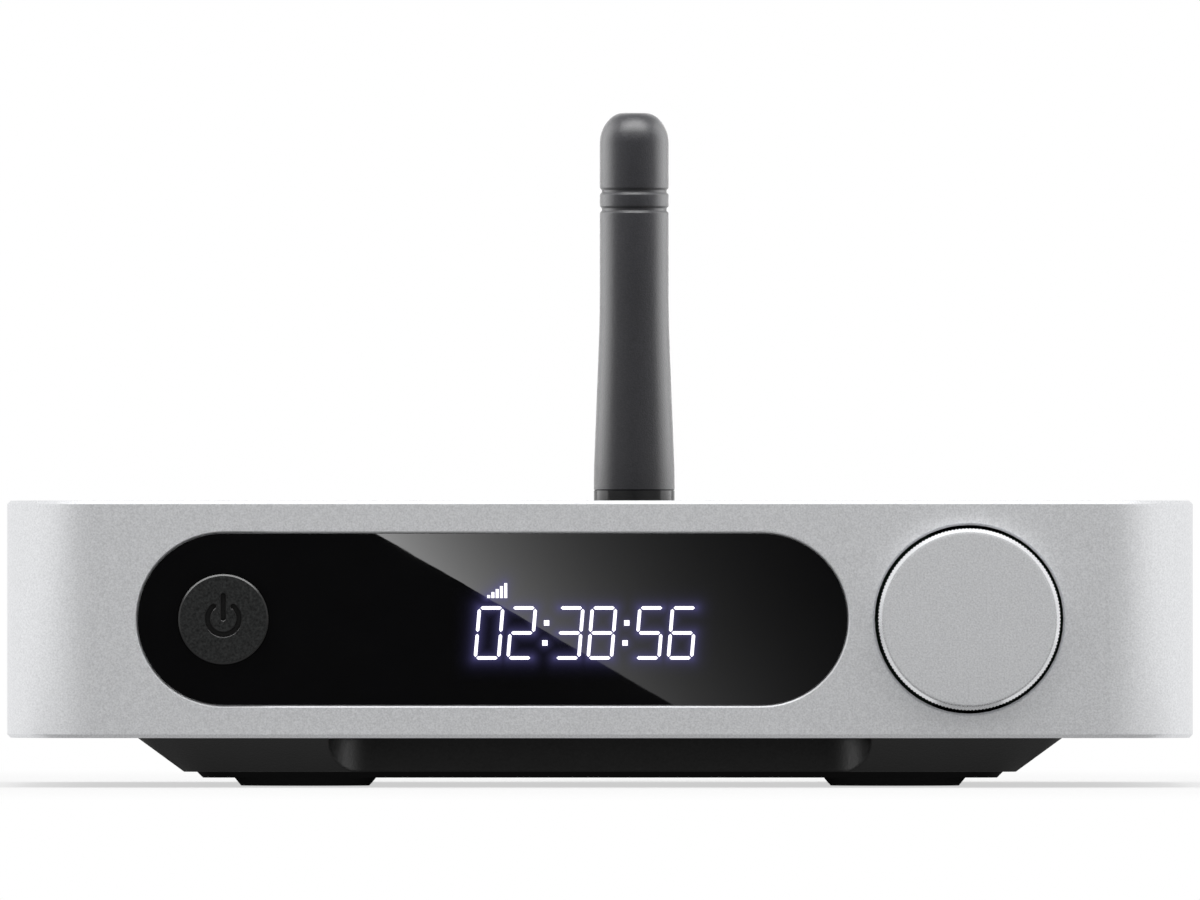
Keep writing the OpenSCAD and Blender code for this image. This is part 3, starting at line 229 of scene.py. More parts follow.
floor_material, paper = empty_material("white_paper_floor")
place = add_node(paper, "ShaderNodeTexCoord").outputs["Object"]
off_middle = add_node(paper, "ShaderNodeVectorMath", {0: place}, operation="ABSOLUTE")
past_shade = add_node(paper, "ShaderNodeVectorMath", {0: off_middle.outputs["Vector"], 1: SHADE_HALF},
                      operation="SUBTRACT")
past = add_node(paper, "ShaderNodeSeparateXYZ", {0: past_shade.outputs["Vector"]}).outputs
farther = add_node(paper, "ShaderNodeMath", {0: past["X"], 1: past["Y"]}, operation="MAXIMUM")
# Painted shadow: in a box round the object's footprint, the glow that gloss sees fades to nothing.
clear = add_node(paper, "ShaderNodeMapRange",
                 {"Value": farther, "From Min": -SHADE_EDGE, "From Max": SHADE_EDGE},
                 interpolation_type="SMOOTHSTEP")
glossy = add_node(paper, "ShaderNodeLightPath").outputs["Is Glossy Ray"]
not_glossy = add_node(paper, "ShaderNodeMath", {0: 1.0, 1: glossy}, operation="SUBTRACT")
open_share = add_node(paper, "ShaderNodeMath", {0: clear, 1: not_glossy}, operation="MAXIMUM")
glow = add_node(paper, "ShaderNodeMapRange",
                {"Value": seen_directly(paper), "To Min": TABLE_GLOW, "To Max": TABLE_SEEN_GLOW})
glow_left = add_node(paper, "ShaderNodeMath", {0: glow, 1: open_share}, operation="MULTIPLY")
table_glow = add_node(paper, "ShaderNodeEmission", {"Color": WHITE, "Strength": glow_left})
print("paper glows at", TABLE_SEEN_GLOW, "of the sweep's white")

# %% Floor sheet that keeps the shadow and fades to the sweep
FLOOR_HALF = 4.0
FLOOR_DROP = 0.05 * MM
FADE_FROM = 0.09
FADE_TO = 0.28


def mesh_piece(name, points, faces, material):
    """A mesh object from its points and faces."""
    mesh = bpy.data.meshes.new(name)
    mesh.from_pydata([tuple(p) for p in points], [], faces)
    mesh.update()
    piece = bpy.data.objects.new(name, mesh)
    scene.collection.objects.link(piece)
    mesh.materials.append(material)
    return piece


reach = add_node(paper, "ShaderNodeVectorMath", {0: place}, operation="LENGTH")
fade = add_node(paper, "ShaderNodeMapRange",
                {"Value": reach.outputs["Value"], "From Min": FADE_FROM, "From Max": FADE_TO},
                interpolation_type="SMOOTHSTEP")
share = add_node(paper, "ShaderNodeMath", {0: seen_directly(paper), 1: fade}, operation="MULTIPLY")
lit = add_node(paper, "ShaderNodeBsdfDiffuse", {"Color": linear("#969696")})
table = add_node(paper, "ShaderNodeAddShader", {0: lit, 1: table_glow})
white = add_node(paper, "ShaderNodeEmission", {"Color": WHITE, "Strength": 1.0})
mixed = add_node(paper, "ShaderNodeMixShader", {0: share, 1: table, 2: white})
add_node(paper, "ShaderNodeOutputMaterial", {"Surface": mixed})
floor_corners = [(x * FLOOR_HALF, y * FLOOR_HALF, -FLOOR_DROP)
                 for x, y in ((-1, -1), (1, -1), (1, 1), (-1, 1))]
floor = mesh_piece("floor", floor_corners, [(0, 1, 2, 3)], floor_material)
print("floor", 2 * FLOOR_HALF, "m wide")

# %% [markdown]
# ## What the gloss sees
# Black gloss shows what stands in front of it. In the portrait that is the dark end of the studio and one
# bright panel, whose slanted edge crosses the window and whose light falls away to the right. Both are
# cards on the camera's side that only reflections can see. A reflection spreads with distance, so a point
# on the card is a point on the window, scaled about the camera's axis.

# %% Cards that only gloss sees
def reflection_card(name, corners, material):
    """A card that only gloss sees, so it neither lights the object nor blocks its light."""
    card = mesh_piece(name, corners, [tuple(range(len(corners)))], material)
    card.visible_camera = False
    card.visible_diffuse = False
    card.visible_shadow = False
    card.visible_transmission = False


def glow_material(name, strength):
    """A material that only shines, with a number or a function that makes the strength from the tree."""
    material, tree = empty_material(name)
    amount = strength(tree) if callable(strength) else strength
    shine = add_node(tree, "ShaderNodeEmission", {"Color": WHITE, "Strength": amount})
    add_node(tree, "ShaderNodeOutputMaterial", {"Surface": shine})
    return material


print("card helpers ready")

# %% Grey end of the studio and grey table
window_lo, window_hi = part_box("display_window")
CARD_DISTANCE = 0.75
CARD_LIFT = 1 * MM
WALL_HALF_W = 0.56
WALL_FADE_FROM = 0.2
WALL_TOP = 0.24
WALL_GREY = 0.61
VELVET_HALF_W = 0.075
VELVET_TOP = 0.06
VELVET_AHEAD = 0.01
VELVET_GREY = 0.05
TABLE_FROM = -0.003
TABLE_HALF_W = 0.1
TABLE_GREY = 0.44


def upright(half_w, top, distance):
    """The corners of a card that stands on the table, this far in front of the window."""
    y = window_lo.y - distance
    return [(-half_w, y, CARD_LIFT), (half_w, y, CARD_LIFT), (half_w, y, top), (-half_w, y, top)]


def lying(near, near_half_w, far, far_half_w):
    """The corners of a card that lies on the table between two distances from the window."""
    y0, y1 = window_lo.y - near, window_lo.y - far
    return [(-near_half_w, y0, CARD_LIFT), (near_half_w, y0, CARD_LIFT),
            (far_half_w, y1, CARD_LIFT), (-far_half_w, y1, CARD_LIFT)]


def wall_brightness(tree):
    """Grey in the middle, fading to the white of the sweep towards both sides."""
    position = add_node(tree, "ShaderNodeTexCoord").outputs["Object"]
    across = add_node(tree, "ShaderNodeSeparateXYZ", {0: position}).outputs["X"]
    off = add_node(tree, "ShaderNodeMath", {0: across}, operation="ABSOLUTE")
    return add_node(tree, "ShaderNodeMapRange",
                    {"Value": off, "From Min": WALL_FADE_FROM, "From Max": WALL_HALF_W, "To Min": WALL_GREY},
                    interpolation_type="SMOOTHSTEP")


reflection_card("grey_end_of_studio", upright(WALL_HALF_W, WALL_TOP, CARD_DISTANCE),
                glow_material("grey_felt_wall", wall_brightness))
reflection_card("dark_gap_for_camera", upright(VELVET_HALF_W, VELVET_TOP, CARD_DISTANCE - VELVET_AHEAD),
                glow_material("black_velvet", VELVET_GREY))
reflection_card("grey_table", lying(TABLE_FROM, TABLE_HALF_W, CARD_DISTANCE, WALL_HALF_W),
                glow_material("grey_felt_table", TABLE_GREY))
print("reflection cards stand", CARD_DISTANCE, "m in front of the window")

# %% Bright panel whose slanted edge crosses the window
PANEL_AHEAD = 0.02
GLARE_TOP_X = -22.6 * MM
GLARE_BOTTOM_X = 7.4 * MM
GLARE_END_X = 27 * MM
GLARE_FADE_X = 9.8 * MM
GLARE_FADE_Z = 15 * MM
GLARE_PEAK = 7.1
GLARE_EDGE = 0.6 * MM
panel_distance = CARD_DISTANCE - PANEL_AHEAD
panel_spread = 1 + panel_distance / (window_lo.y - camera.location.y)


def on_panel(x, z):
    """The point of the panel that shows at x, z on the window."""
    return Vector((x * panel_spread, window_lo.y - panel_distance, CAMERA_Z + (z - CAMERA_Z) * panel_spread))


def panel_brightness(tree):
    """Brightest at the upper left corner, falling away to the right and growing downwards."""
    start = on_panel(GLARE_TOP_X, window_hi.z)
    position = add_node(tree, "ShaderNodeTexCoord").outputs["Object"]
    slope = Vector((-1 / (GLARE_FADE_X * panel_spread), 0, -1 / (GLARE_FADE_Z * panel_spread)))
    along = add_node(tree, "ShaderNodeVectorMath", {0: position, 1: slope}, operation="DOT_PRODUCT")
    fall = add_node(tree, "ShaderNodeMath", {0: along.outputs["Value"], 1: -start.dot(slope)},
                    operation="ADD")
    left_over = add_node(tree, "ShaderNodeMath", {0: fall}, operation="EXPONENT")
    bright = add_node(tree, "ShaderNodeMath", {0: left_over, 1: GLARE_PEAK}, operation="MULTIPLY")
    return bright


lean = (GLARE_BOTTOM_X - GLARE_TOP_X) / (window_hi.z - window_lo.z) * GLARE_EDGE
panel_outline = [(GLARE_TOP_X - lean, window_hi.z + GLARE_EDGE), (GLARE_END_X, window_hi.z + GLARE_EDGE),
                 (GLARE_END_X, window_lo.z - GLARE_EDGE), (GLARE_BOTTOM_X + lean, window_lo.z - GLARE_EDGE)]
panel_corners = [on_panel(x, z) for x, z in panel_outline]
reflection_card("bright_panel", panel_corners, glow_material("lit_diffuser", panel_brightness))
print("bright panel stands", panel_distance, "m in front of the window")

# %% [markdown]
# ## Small lights
# Black pieces on white need lamps of their own. A strip of light on each side draws the edges of a black rod,
# a lamp over its tip shows the dome, and low lamps show the shape of a dark recess. Stronger studio lights
# would wash out the rest, so each small lamp shines on its own piece alone.

# %% Strips beside the antenna and a lamp over its tip
sleeve_lo, sleeve_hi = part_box("antenna_sleeve")
mast = (sleeve_lo + sleeve_hi) / 2
STRIP_SIDE = 0.06
STRIP_BEHIND = 0.019
STRIP_W = 0.062
STRIP_H = 0.094
STRIP_RADIANCE = 4.8
TIP_LIGHT_UP = 0.096
TIP_LIGHT_AHEAD = 0.05
TIP_LIGHT_W = 0.16
TIP_LIGHT_D = 0.06
TIP_RADIANCE = 15.5
strip_at = Vector((mast.x, mast.y + STRIP_BEHIND, shell_hi.z + STRIP_H / 2))
antenna_lights = [softbox("strip_light_" + word, strip_at + Vector((side * STRIP_SIDE, 0, 0)), strip_at,
                          STRIP_W, STRIP_H, STRIP_RADIANCE) for side, word in SIDES]
tip = Vector((mast.x, mast.y, sleeve_hi.z))
antenna_lights.append(softbox("tip_light", tip + Vector((0, -TIP_LIGHT_AHEAD, TIP_LIGHT_UP)), tip,
                              TIP_LIGHT_W, TIP_LIGHT_D, TIP_RADIANCE))
print("two strips stand", STRIP_SIDE, "m beside the antenna")

# %% Low lights that look along the recess of the base from both sides
BASE_LIGHT_SIDE = 0.38
BASE_LIGHT_AHEAD = 0.15
BASE_LIGHT_Z = 0.0065
BASE_LIGHT_W = 0.32
BASE_LIGHT_H = 0.011
BASE_RADIANCE = 72.0


def shine_only_on(pieces, lights):
    """Lets these lights shine on these pieces alone, as a small lamp held close to them would."""
    group = bpy.data.collections.new("lit_" + pieces[0].name)
    for piece in pieces:
        group.objects.link(piece)
    for light in lights:
        light.light_linking.receiver_collection = group


recess = Vector((0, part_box("base_tray")[0].y, BASE_LIGHT_Z))
base_lights = [softbox("base_light_" + word, recess + Vector((side * BASE_LIGHT_SIDE, -BASE_LIGHT_AHEAD, 0)),
                       recess, BASE_LIGHT_W, BASE_LIGHT_H, BASE_RADIANCE) for side, word in SIDES]
shine_only_on([nodes["base_tray"]], base_lights)
print("two low lights stand", BASE_LIGHT_SIDE, "m beside the base")

# %% [markdown]
# ## Finishes
# Each finish starts from the real material. The case and knob are aluminium, blasted with glass beads and
# then anodised, so they are a metal with a soft, grainy sheen. The other pieces are moulded plastics,
# rubber and plated metals. All of them share one habit of real surfaces: a fine grain that shifts the
# colour, the roughness and the height together. One function gives that grain, at a real size in millimetres.

# %% Grain that colour, roughness and height share
GRAIN_DETAIL = 2.5
GRAIN_ROUGHNESS = 0.6
GRAIN_LOW = 0.3
GRAIN_HIGH = 0.7
EDGE_SAMPLES = 6


def add_grain(tree, shader, size_mm, depth_mm, colours, roughness, edge_mm):
    """Fine noise of this size moves the colour between two hex values and the roughness between two numbers.
    Sharp edges shade as if they were eased by edge_mm."""
    position = add_node(tree, "ShaderNodeTexCoord").outputs["Object"]
    noise = add_node(tree, "ShaderNodeTexNoise", {"Vector": position, "Scale": 1 / (size_mm * MM),
                                                  "Detail": GRAIN_DETAIL, "Roughness": GRAIN_ROUGHNESS})
    spread = add_node(tree, "ShaderNodeMapRange",
                      {"Value": noise, "From Min": GRAIN_LOW, "From Max": GRAIN_HIGH})
    # Of the mix node's many sockets, inputs 6 and 7 and output 2 are the ones for colours.
    tint = add_node(tree, "ShaderNodeMix", {0: spread, 6: linear(colours[0]),
                                            7: linear(colours[1])}, data_type="RGBA")
    rough = add_node(tree, "ShaderNodeMapRange",
                     {"Value": spread, "To Min": roughness[0], "To Max": roughness[1]})
    height = add_node(tree, "ShaderNodeBump", {"Height": noise, "Distance": depth_mm * MM})
    if edge_mm:
        ease = add_node(tree, "ShaderNodeBevel", {"Radius": edge_mm * MM}, samples=EDGE_SAMPLES)
        tree.links.new(ease.outputs["Normal"], height.inputs["Normal"])
    tree.links.new(tint.outputs[2], shader.inputs["Base Color"])
    tree.links.new(rough.outputs["Result"], shader.inputs["Roughness"])
    tree.links.new(height.outputs["Normal"], shader.inputs["Normal"])


def grained(name, colours, size_mm, depth_mm, roughness, edge_mm=0, **sockets):
    """A material with the shared grain. Its plain colour, half way, is for viewers that show no grain."""
    half_way = [(dark + light) / 2 for dark, light in zip(*map(linear, colours))]
    material, tree, shader = start_material(name, half_way, **sockets)
    add_grain(tree, shader, size_mm, depth_mm, colours, roughness, edge_mm)
    return material


print("grain ready")

# %% Bead-blasted aluminium for the case and knob
# The beads leave dents of 0.05 to 0.1 mm. They are drawn 0.18 mm wide, so that they show in the picture.
blasted_aluminium = grained("bead_blasted_anodised_aluminium", ("#D6D7D9", "#F0F1F3"), 0.18, 0.012,
                            (0.34, 0.42), edge_mm=0.09, Metallic=1.0)
knob_aluminium = grained("bead_blasted_knob_aluminium", ("#D6D7D9", "#F0F1F3"), 0.18, 0.012, (0.34, 0.42),
                         Metallic=1.0)
cut_aluminium = grained("diamond_cut_aluminium_bevel", ("#D8D9DB", "#E2E3E5"), 0.2, 0.001, (0.24, 0.3),
                        Metallic=1.0)
print("aluminium in three finishes")

# %% [markdown]
# ### Plastics and rubber
# Moulded parts copy the texture of their steel mould, from 0.1 mm on small jacks to 0.3 mm on the base. One
# black for all of them would be quicker, but black pieces differ in sheen and grain, and that is how the eye
# tells them apart. Blacks are charcoal in daylight, and a lower specular level stands for the light that the
# texture traps.

# %% Plastics and rubber, each with its own grain
def finish_rows(rows, **shared):
    """Makes a material for each slot. A row gives its name, its darkest and lightest colour, the grain's size
    and depth in mm, the lowest and highest roughness, and then any settings of its own."""
    made = {}
    for slot, (name, dark, light, size_mm, depth_mm, low, high, *own) in rows.items():
        settings = {**shared, **(own[0] if own else {})}
        made[slot] = grained(name, (dark, light), size_mm, depth_mm, (low, high), **settings)
    return made


moulded = finish_rows({
    "base_plastic": ("spark_textured_black_abs", "#050505", "#0F0F0F", 0.26, 0.02, 0.4, 0.5,
                     dict(edge_mm=0.4, Specular_IOR_Level=0.21)),
    "sole_plastic": ("smooth_black_polycarbonate", "#060606", "#0A0A0A", 0.5, 0.003, 0.5, 0.6,
                     dict(Specular_IOR_Level=0.06)),
    "foot_rubber": ("soft_black_silicone_rubber", "#0C0C0C", "#151515", 0.25, 0.01, 0.6, 0.75,
                    dict(Specular_IOR_Level=0.1)),
    "panel_plastic": ("fine_textured_black_abs", "#121213", "#1C1C1D", 0.22, 0.012, 0.48, 0.62,
                      dict(Specular_IOR_Level=0.4)),
    "tape_foam": ("black_acrylic_foam", "#0E0E0E", "#1A1A1A", 0.2, 0.02, 0.8, 0.95),
    "holder_plastic": ("plain_black_abs", "#121212", "#171717", 0.3, 0.004, 0.4, 0.5),
    "button_plastic": ("soft_touch_charcoal_polycarbonate", "#010202", "#282929", 0.27, 0.04, 0.46, 0.6,
                       dict(Specular_IOR_Level=0.2)),
    "switch_plastic": ("black_nylon", "#101010", "#171717", 0.3, 0.005, 0.45, 0.55),
    "plunger_plastic": ("tan_polyamide", "#AF936C", "#BFA37C", 0.3, 0.005, 0.45, 0.55),
    "encoder_plastic": ("black_phenolic", "#141414", "#1B1B1B", 0.3, 0.006, 0.45, 0.55),
    "rotor_plastic": ("ivory_acetal", "#DDD7C3", "#E7E1CD", 0.4, 0.004, 0.35, 0.45),
    "socket_plastic": ("cream_nylon", "#DED9CA", "#E9E4D5", 0.3, 0.005, 0.4, 0.5),
    "chip_epoxy": ("black_moulding_epoxy", "#121212", "#1B1B1B", 0.12, 0.006, 0.5, 0.62),
    "jack_plastic": ("black_glass_filled_nylon", "#111111", "#1A1A1A", 0.15, 0.006, 0.42, 0.55),
    "tongue_plastic": ("white_liquid_crystal_polymer", "#D4D4D2", "#E0E0DE", 0.2, 0.004, 0.38, 0.48),
    "optical_plastic": ("black_abs_connector", "#101010", "#181818", 0.15, 0.006, 0.4, 0.5),
    "line_white": ("white_abs", "#E1E1DD", "#EBEBE7", 0.3, 0.003, 0.25, 0.34),
    "line_red": ("red_abs", "#A81818", "#B82020", 0.3, 0.003, 0.25, 0.34),
    "lead_plastic": ("black_fep_jacket", "#151515", "#1E1E1E", 0.3, 0.004, 0.35, 0.45),
    "antenna_plastic": ("satin_black_nylon", "#0A0A0B", "#0F0F10", 0.25, 0.002, 0.14, 0.2,
                        dict(Specular_IOR_Level=0.2)),
    "sleeve_plastic": ("matte_black_tpe_sleeve", "#06060A", "#17171B", 0.16, 0.02, 0.36, 0.44,
                       dict(Specular_IOR_Level=0.36, Sheen_Weight=0.3, Sheen_Roughness=0.35)),
})
print(len(moulded), "plastics and rubbers")

# %% [markdown]
# ### Metals
# Screws, shafts, shields and plated contacts. A metal keeps the default index of refraction, and its colour
# is the colour of its reflection, so it needs no more than the plastics do: the same rows, made metallic.

# %% Metals, each plated or turned
metals = finish_rows({
    "screw_steel": ("black_oxide_steel", "#333334", "#424243", 0.1, 0.004, 0.35, 0.48),
    "bushing_steel": ("nickel_plated_steel", "#C4C2BD", "#CFCDC8", 0.15, 0.003, 0.22, 0.3),
    "shaft_steel": ("turned_stainless_steel", "#B2B2B3", "#C0C0C1", 0.12, 0.004, 0.25, 0.36),
    "shield_steel": ("tinned_steel_can", "#C0C1C2", "#D0D1D2", 0.4, 0.006, 0.28, 0.4),
    "spreader_aluminium": ("black_anodised_aluminium", "#19191B", "#242426", 0.2, 0.008, 0.45, 0.55,
                           dict(Metallic=0.6)),
    "capacitor_can": ("blue_sleeved_aluminium", "#252E4A", "#303A58", 0.5, 0.003, 0.3, 0.4,
                      dict(Metallic=0.0)),
    "jack_steel": ("tin_plated_steel", "#BDBEBF", "#CDCECF", 0.35, 0.005, 0.26, 0.38),
    "contact_gold": ("gold_plated_bronze", "#D0AC52", "#E0BC62", 0.1, 0.002, 0.2, 0.28),
    "line_gold": ("gold_plated_brass", "#D5B05E", "#E4C06E", 0.3, 0.002, 0.16, 0.24),
    "socket_gold": ("gold_flashed_brass", "#CEA852", "#DEB862", 0.2, 0.003, 0.22, 0.3),
    "radiator_copper": ("drawn_copper", "#BE7354", "#CE8364", 0.15, 0.004, 0.28, 0.38),
}, Metallic=1.0)
print(len(metals), "metals")

# %% [markdown]
# ### Glass, film and boards
# Smoked acrylic looks black from outside, with a polished face that mirrors the room. It could let some light
# through, but what lies behind this window is not meant to show, so it is black with a mirror face. Faint
# polishing haze, drawn 6 mm wide as it shows on large clear faces, keeps the mirror from being perfect.

# %% Glass, film and boards
sheets = finish_rows({
    "window_acrylic": ("smoked_polished_acrylic", "#040405", "#060607", 6.0, 0.0002, 0.003, 0.007,
                       dict(IOR=1.49)),
    "display_glass": ("polarised_display_glass", "#08090E", "#0C0D12", 4.0, 0.0005, 0.08, 0.12,
                      dict(IOR=1.52)),
    "light_guide": ("clear_light_guide_acrylic", "#E4E5E9", "#EEEFF3", 0.8, 0.002, 0.1, 0.16, dict(IOR=1.49)),
    "ribbon_film": ("white_polyester_film", "#D6D6D6", "#E2E2E2", 0.5, 0.002, 0.3, 0.4),
    "board_laminate": ("green_solder_mask", "#0F4A2B", "#165734", 0.6, 0.004, 0.25, 0.36),
    "module_laminate": ("blue_solder_mask", "#112655", "#183064", 0.6, 0.004, 0.25, 0.36),
})
print(len(sheets), "sheets")

# %% Every node in its finish
finishes = {"shell_aluminium": blasted_aluminium, "knob_aluminium": knob_aluminium}
finishes.update(moulded)
finishes.update(metals)
finishes.update(sheets)
slot_of = {part["node"]: part["material_slot"] for part in frame["record"]["subparts"]}
for name, piece in nodes.items():
    piece.data.materials.clear()
    piece.data.materials.append(finishes[slot_of[name]])
print("dressed", len(nodes), "nodes in", len(set(slot_of.values())), "finishes")

# %% [markdown]
# ## Turned pieces
# The knob, the button, the antenna and the phono barrels are all round, so one lathe makes them: it spins
# an outline of radius and length about an axis. A real turned edge is never razor sharp, and a small
# chamfer or rounding there is what catches the light. A chamfer is drawn in the outline itself, and a
# rounding comes from easing a corner of the outline before it is spun.

# %% Eased corners
EASE_STEPS = 3


def eased(outline):
    """Rounds each corner that has a third value, the distance at which the rounding starts, in mm."""
    points = []
    for i, (r, along, *ease) in enumerate(outline):
        corner = Vector((r, along))
        if not ease:
            points.append(corner)
            continue
        before = Vector(outline[i - 1][:2])
        after = Vector(outline[i + 1][:2])
        start = corner + (before - corner).normalized() * ease[0]
        end = corner + (after - corner).normalized() * ease[0]
        for step in range(EASE_STEPS + 1):
            t = step / EASE_STEPS
            points.append(start * (1 - t) ** 2 + corner * (2 * t * (1 - t)) + end * t ** 2)
    return points


print("a right angle becomes", len(eased([(1, 0), (1, 1, 0.2), (0, 1)])) - 2, "points")

# %% [markdown]
# A screw modifier could spin the outline. Building the rings point by point takes a few lines more, but every
# second point of a ring can then be cut deeper, which makes knurls and ribs, and a band between two rings can
# take a second finish.

# %% Lathe
SPIN = 128
SHARP_DEG = 28


def crisp(mesh):
    """Shades a mesh smooth, apart from its sharp edges."""
    mesh.polygons.foreach_set("use_smooth", [True] * len(mesh.polygons))
    mesh.set_sharp_from_angle(angle=math.radians(SHARP_DEG))


def finish_mesh(name, bm, material):
    """Turns a bmesh into a smooth-shaded object that stays crisp at its sharp edges."""
    piece = mesh_piece(name, [], [], material)
    bm.to_mesh(piece.data)
    bm.free()
    crisp(piece.data)
    return piece


def lathe(name, outline, origin, along, material, teeth=0, tooth_depth=0.0, toothed=(), second=()):
    """Spins a closed outline, given in mm from the origin. Rings in toothed have alternate points cut deeper,
    and the bands that start at the rings in second take the object's second finish."""
    up = Vector(along)
    across = Vector((1, 0, 0))
    third = up.cross(across)
    count = 2 * teeth if teeth else SPIN
    bm = bmesh.new()
    rings = []
    for i, (r, height) in enumerate(outline):
        foot = Vector(origin) + up * height * MM
        if r == 0:
            rings.append([bm.verts.new(foot)] * count)
            continue
        ring = []
        for k in range(count):
            reach = r - tooth_depth if i in toothed and k % 2 else r
            turn = 2 * math.pi * k / count
            ring.append(bm.verts.new(foot + (across * math.cos(turn) + third * math.sin(turn)) * reach * MM))
        rings.append(ring)
    for i, (low, high) in enumerate(zip(rings, rings[1:])):
        for k in range(count):
            corners = list(dict.fromkeys((low[k], low[(k + 1) % count], high[(k + 1) % count], high[k])))
            if len(corners) > 2:
                bm.faces.new(corners).material_index = int(i in second)
    bmesh.ops.recalc_face_normals(bm, faces=bm.faces)
    return finish_mesh(name, bm, material)


print("lathe turns in", SPIN, "steps")

# %% [markdown]
# A finer mesh takes the place of a plain piece. It rides on the same body, so it moves as the piece did, and
# the plain piece is left out.

# %% Places of the pieces
def near_end(lo, hi):
    """The middle of the end of a box that faces the front."""
    return Vector(((lo.x + hi.x) / 2, lo.y, (lo.z + hi.z) / 2))


def place_piece(piece, body, slot, *replaced):
    """Lets the piece ride on its body and stand for the nodes that it replaces."""
    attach(piece, body)
    if replaced:
        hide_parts(*replaced)
    print(piece.name, "has", len(piece.data.vertices), "points and rides on", body)


# %% [markdown]
# ## The volume knob
# The knob is turned from bar: a flat blasted face, a gentle facet, a bright bevel and a finely knurled side
# that the fingers grip. The knurl could be a bump in the finish, but its teeth show along the edge of the
# bevel, so it is real geometry. Knurling this fine has 0.3 to 0.4 mm from tooth to tooth.

# %% Knurled knob
knob_lo, knob_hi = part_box("knob")
knob_r = (knob_hi.x - knob_lo.x) / 2 / MM
knob_l = (knob_hi.y - knob_lo.y) / MM
knob_front = near_end(knob_lo, knob_hi)
KNURL_PITCH = 0.36
KNURL_DEPTH = 0.09
KNOB_BEVEL_W = 0.37
KNOB_BEVEL_T = 0.32
KNOB_FACET_W = 0.16
KNOB_FACET_T = 0.034
KNOB_FLAT_RING = 0.15
KNOB_BACK_EDGE = 0.2
KNOB_FACE_T = 2.2
KNOB_RIM_T = 1.6
HUB_R = 4.6
HUB_BORE_R = 3.05
HUB_STEP = 0.6
knob_face_r = knob_r - KNOB_BEVEL_W - KNOB_FACET_W
knob_outline = [
    (0, 0), (knob_face_r - KNOB_FLAT_RING, 0), (knob_face_r, 0), (knob_r - KNOB_BEVEL_W, KNOB_FACET_T),
    (knob_r, KNOB_FACET_T + KNOB_BEVEL_T), (knob_r, knob_l - KNOB_BACK_EDGE),
    (knob_r - KNOB_BACK_EDGE, knob_l), (knob_r - KNOB_RIM_T, knob_l), (knob_r - KNOB_RIM_T, KNOB_FACE_T),
    (HUB_R, KNOB_FACE_T), (HUB_R, knob_l - HUB_STEP), (HUB_BORE_R, knob_l - HUB_STEP),
    (HUB_BORE_R, KNOB_FACE_T), (0, KNOB_FACE_T),
]
knurled = [i for i, (r, _) in enumerate(knob_outline) if r == knob_r]
knob = lathe("volume_knob", knob_outline, knob_front, (0, 1, 0), knob_aluminium,
             teeth=round(2 * math.pi * knob_r / KNURL_PITCH), tooth_depth=KNURL_DEPTH, toothed=knurled,
             second=[knurled[0] - 2, knurled[0] - 1])
knob.data.materials.append(cut_aluminium)
place_piece(knob, "knob", "knob_aluminium", "knob")

# %% [markdown]
# ## Light round the knob
# A bevel is a mirror that faces sideways: it shows what stands beside the knob, not what stands in front of
# it. Two lamps above and two strips on the table give it something bright to show, and a small dark flag on
# the table draws the thin line where the face meets the bevel. The knob's upper side also throws light back
# on the case, and a row of tiny lamps stands in for that glow.

# %% Lamps, strips and flag for the bright bevel
KNOB_LIGHT_OFF = 0.3
KNOB_LIGHT_W = 0.55
KNOB_LIGHT_D = 0.08
KNOB_RADIANCE = 0.24
KNOB_STRIP_FROM = 0.006
KNOB_STRIP_TO = 0.11
KNOB_STRIP_D = 0.014
KNOB_STRIP_LIFT = 2 * CARD_LIFT
KNOB_STRIP_RADIANCE = 0.44
FLAG_NEAR = 0.01
FLAG_FAR = 0.026
FLAG_HALF_W = 0.01
FLAG_LIFT = 1.5 * CARD_LIFT
FLAG_GREY = 0.18
knob_lights = []
for side, word in SIDES:
    high = knob_front + Vector((side * KNOB_LIGHT_OFF, 0, KNOB_LIGHT_OFF))
    knob_lights.append(softbox("knob_light_" + word, high, knob_front, KNOB_LIGHT_D, KNOB_LIGHT_W,
                               KNOB_RADIANCE))
    strip_x = knob_front.x + side * (KNOB_STRIP_FROM + KNOB_STRIP_TO) / 2
    low = Vector((strip_x, knob_front.y, KNOB_STRIP_LIFT))
    knob_lights.append(softbox("knob_strip_" + word, low, low + Vector((0, 0, 1)),
                               KNOB_STRIP_TO - KNOB_STRIP_FROM, KNOB_STRIP_D, KNOB_STRIP_RADIANCE))
shine_only_on([knob], knob_lights)
flag_corners = [(knob_front.x + side * FLAG_HALF_W, knob_front.y - ahead, FLAG_LIFT)
                for side, ahead in ((-1, FLAG_FAR), (1, FLAG_FAR), (1, FLAG_NEAR), (-1, FLAG_NEAR))]
reflection_card("black_flag_below_knob", flag_corners, glow_material("black_felt_flag", FLAG_GREY))
print(len(knob_lights), "lights stand round the knob")

# %% Light that the knob's upper side throws back on the case
BOUNCE_COUNT = 9
BOUNCE_SPAN_DEG = 75
BOUNCE_OFF = 0.1
BOUNCE_W = 3.1 * MM
BOUNCE_RADIANCE = 0.75
bounce_middle = Vector((knob_front.x, (knob_front.y + window_lo.y) / 2, knob_front.z))
bounce_lights = []
for k in range(BOUNCE_COUNT):
    turn = math.radians(BOUNCE_SPAN_DEG * (2 * k / (BOUNCE_COUNT - 1) - 1))
    outward = Vector((math.sin(turn), 0, math.cos(turn)))
    spot = bounce_middle + outward * (knob_r + BOUNCE_OFF) * MM
    bounce_lights.append(softbox("knob_bounce_" + str(k), spot, spot + outward, BOUNCE_W, BOUNCE_W,
                                 BOUNCE_RADIANCE * math.cos(turn)))
shine_only_on([nodes["shell"]], bounce_lights)
print(len(bounce_lights), "small lights over the knob's upper side")

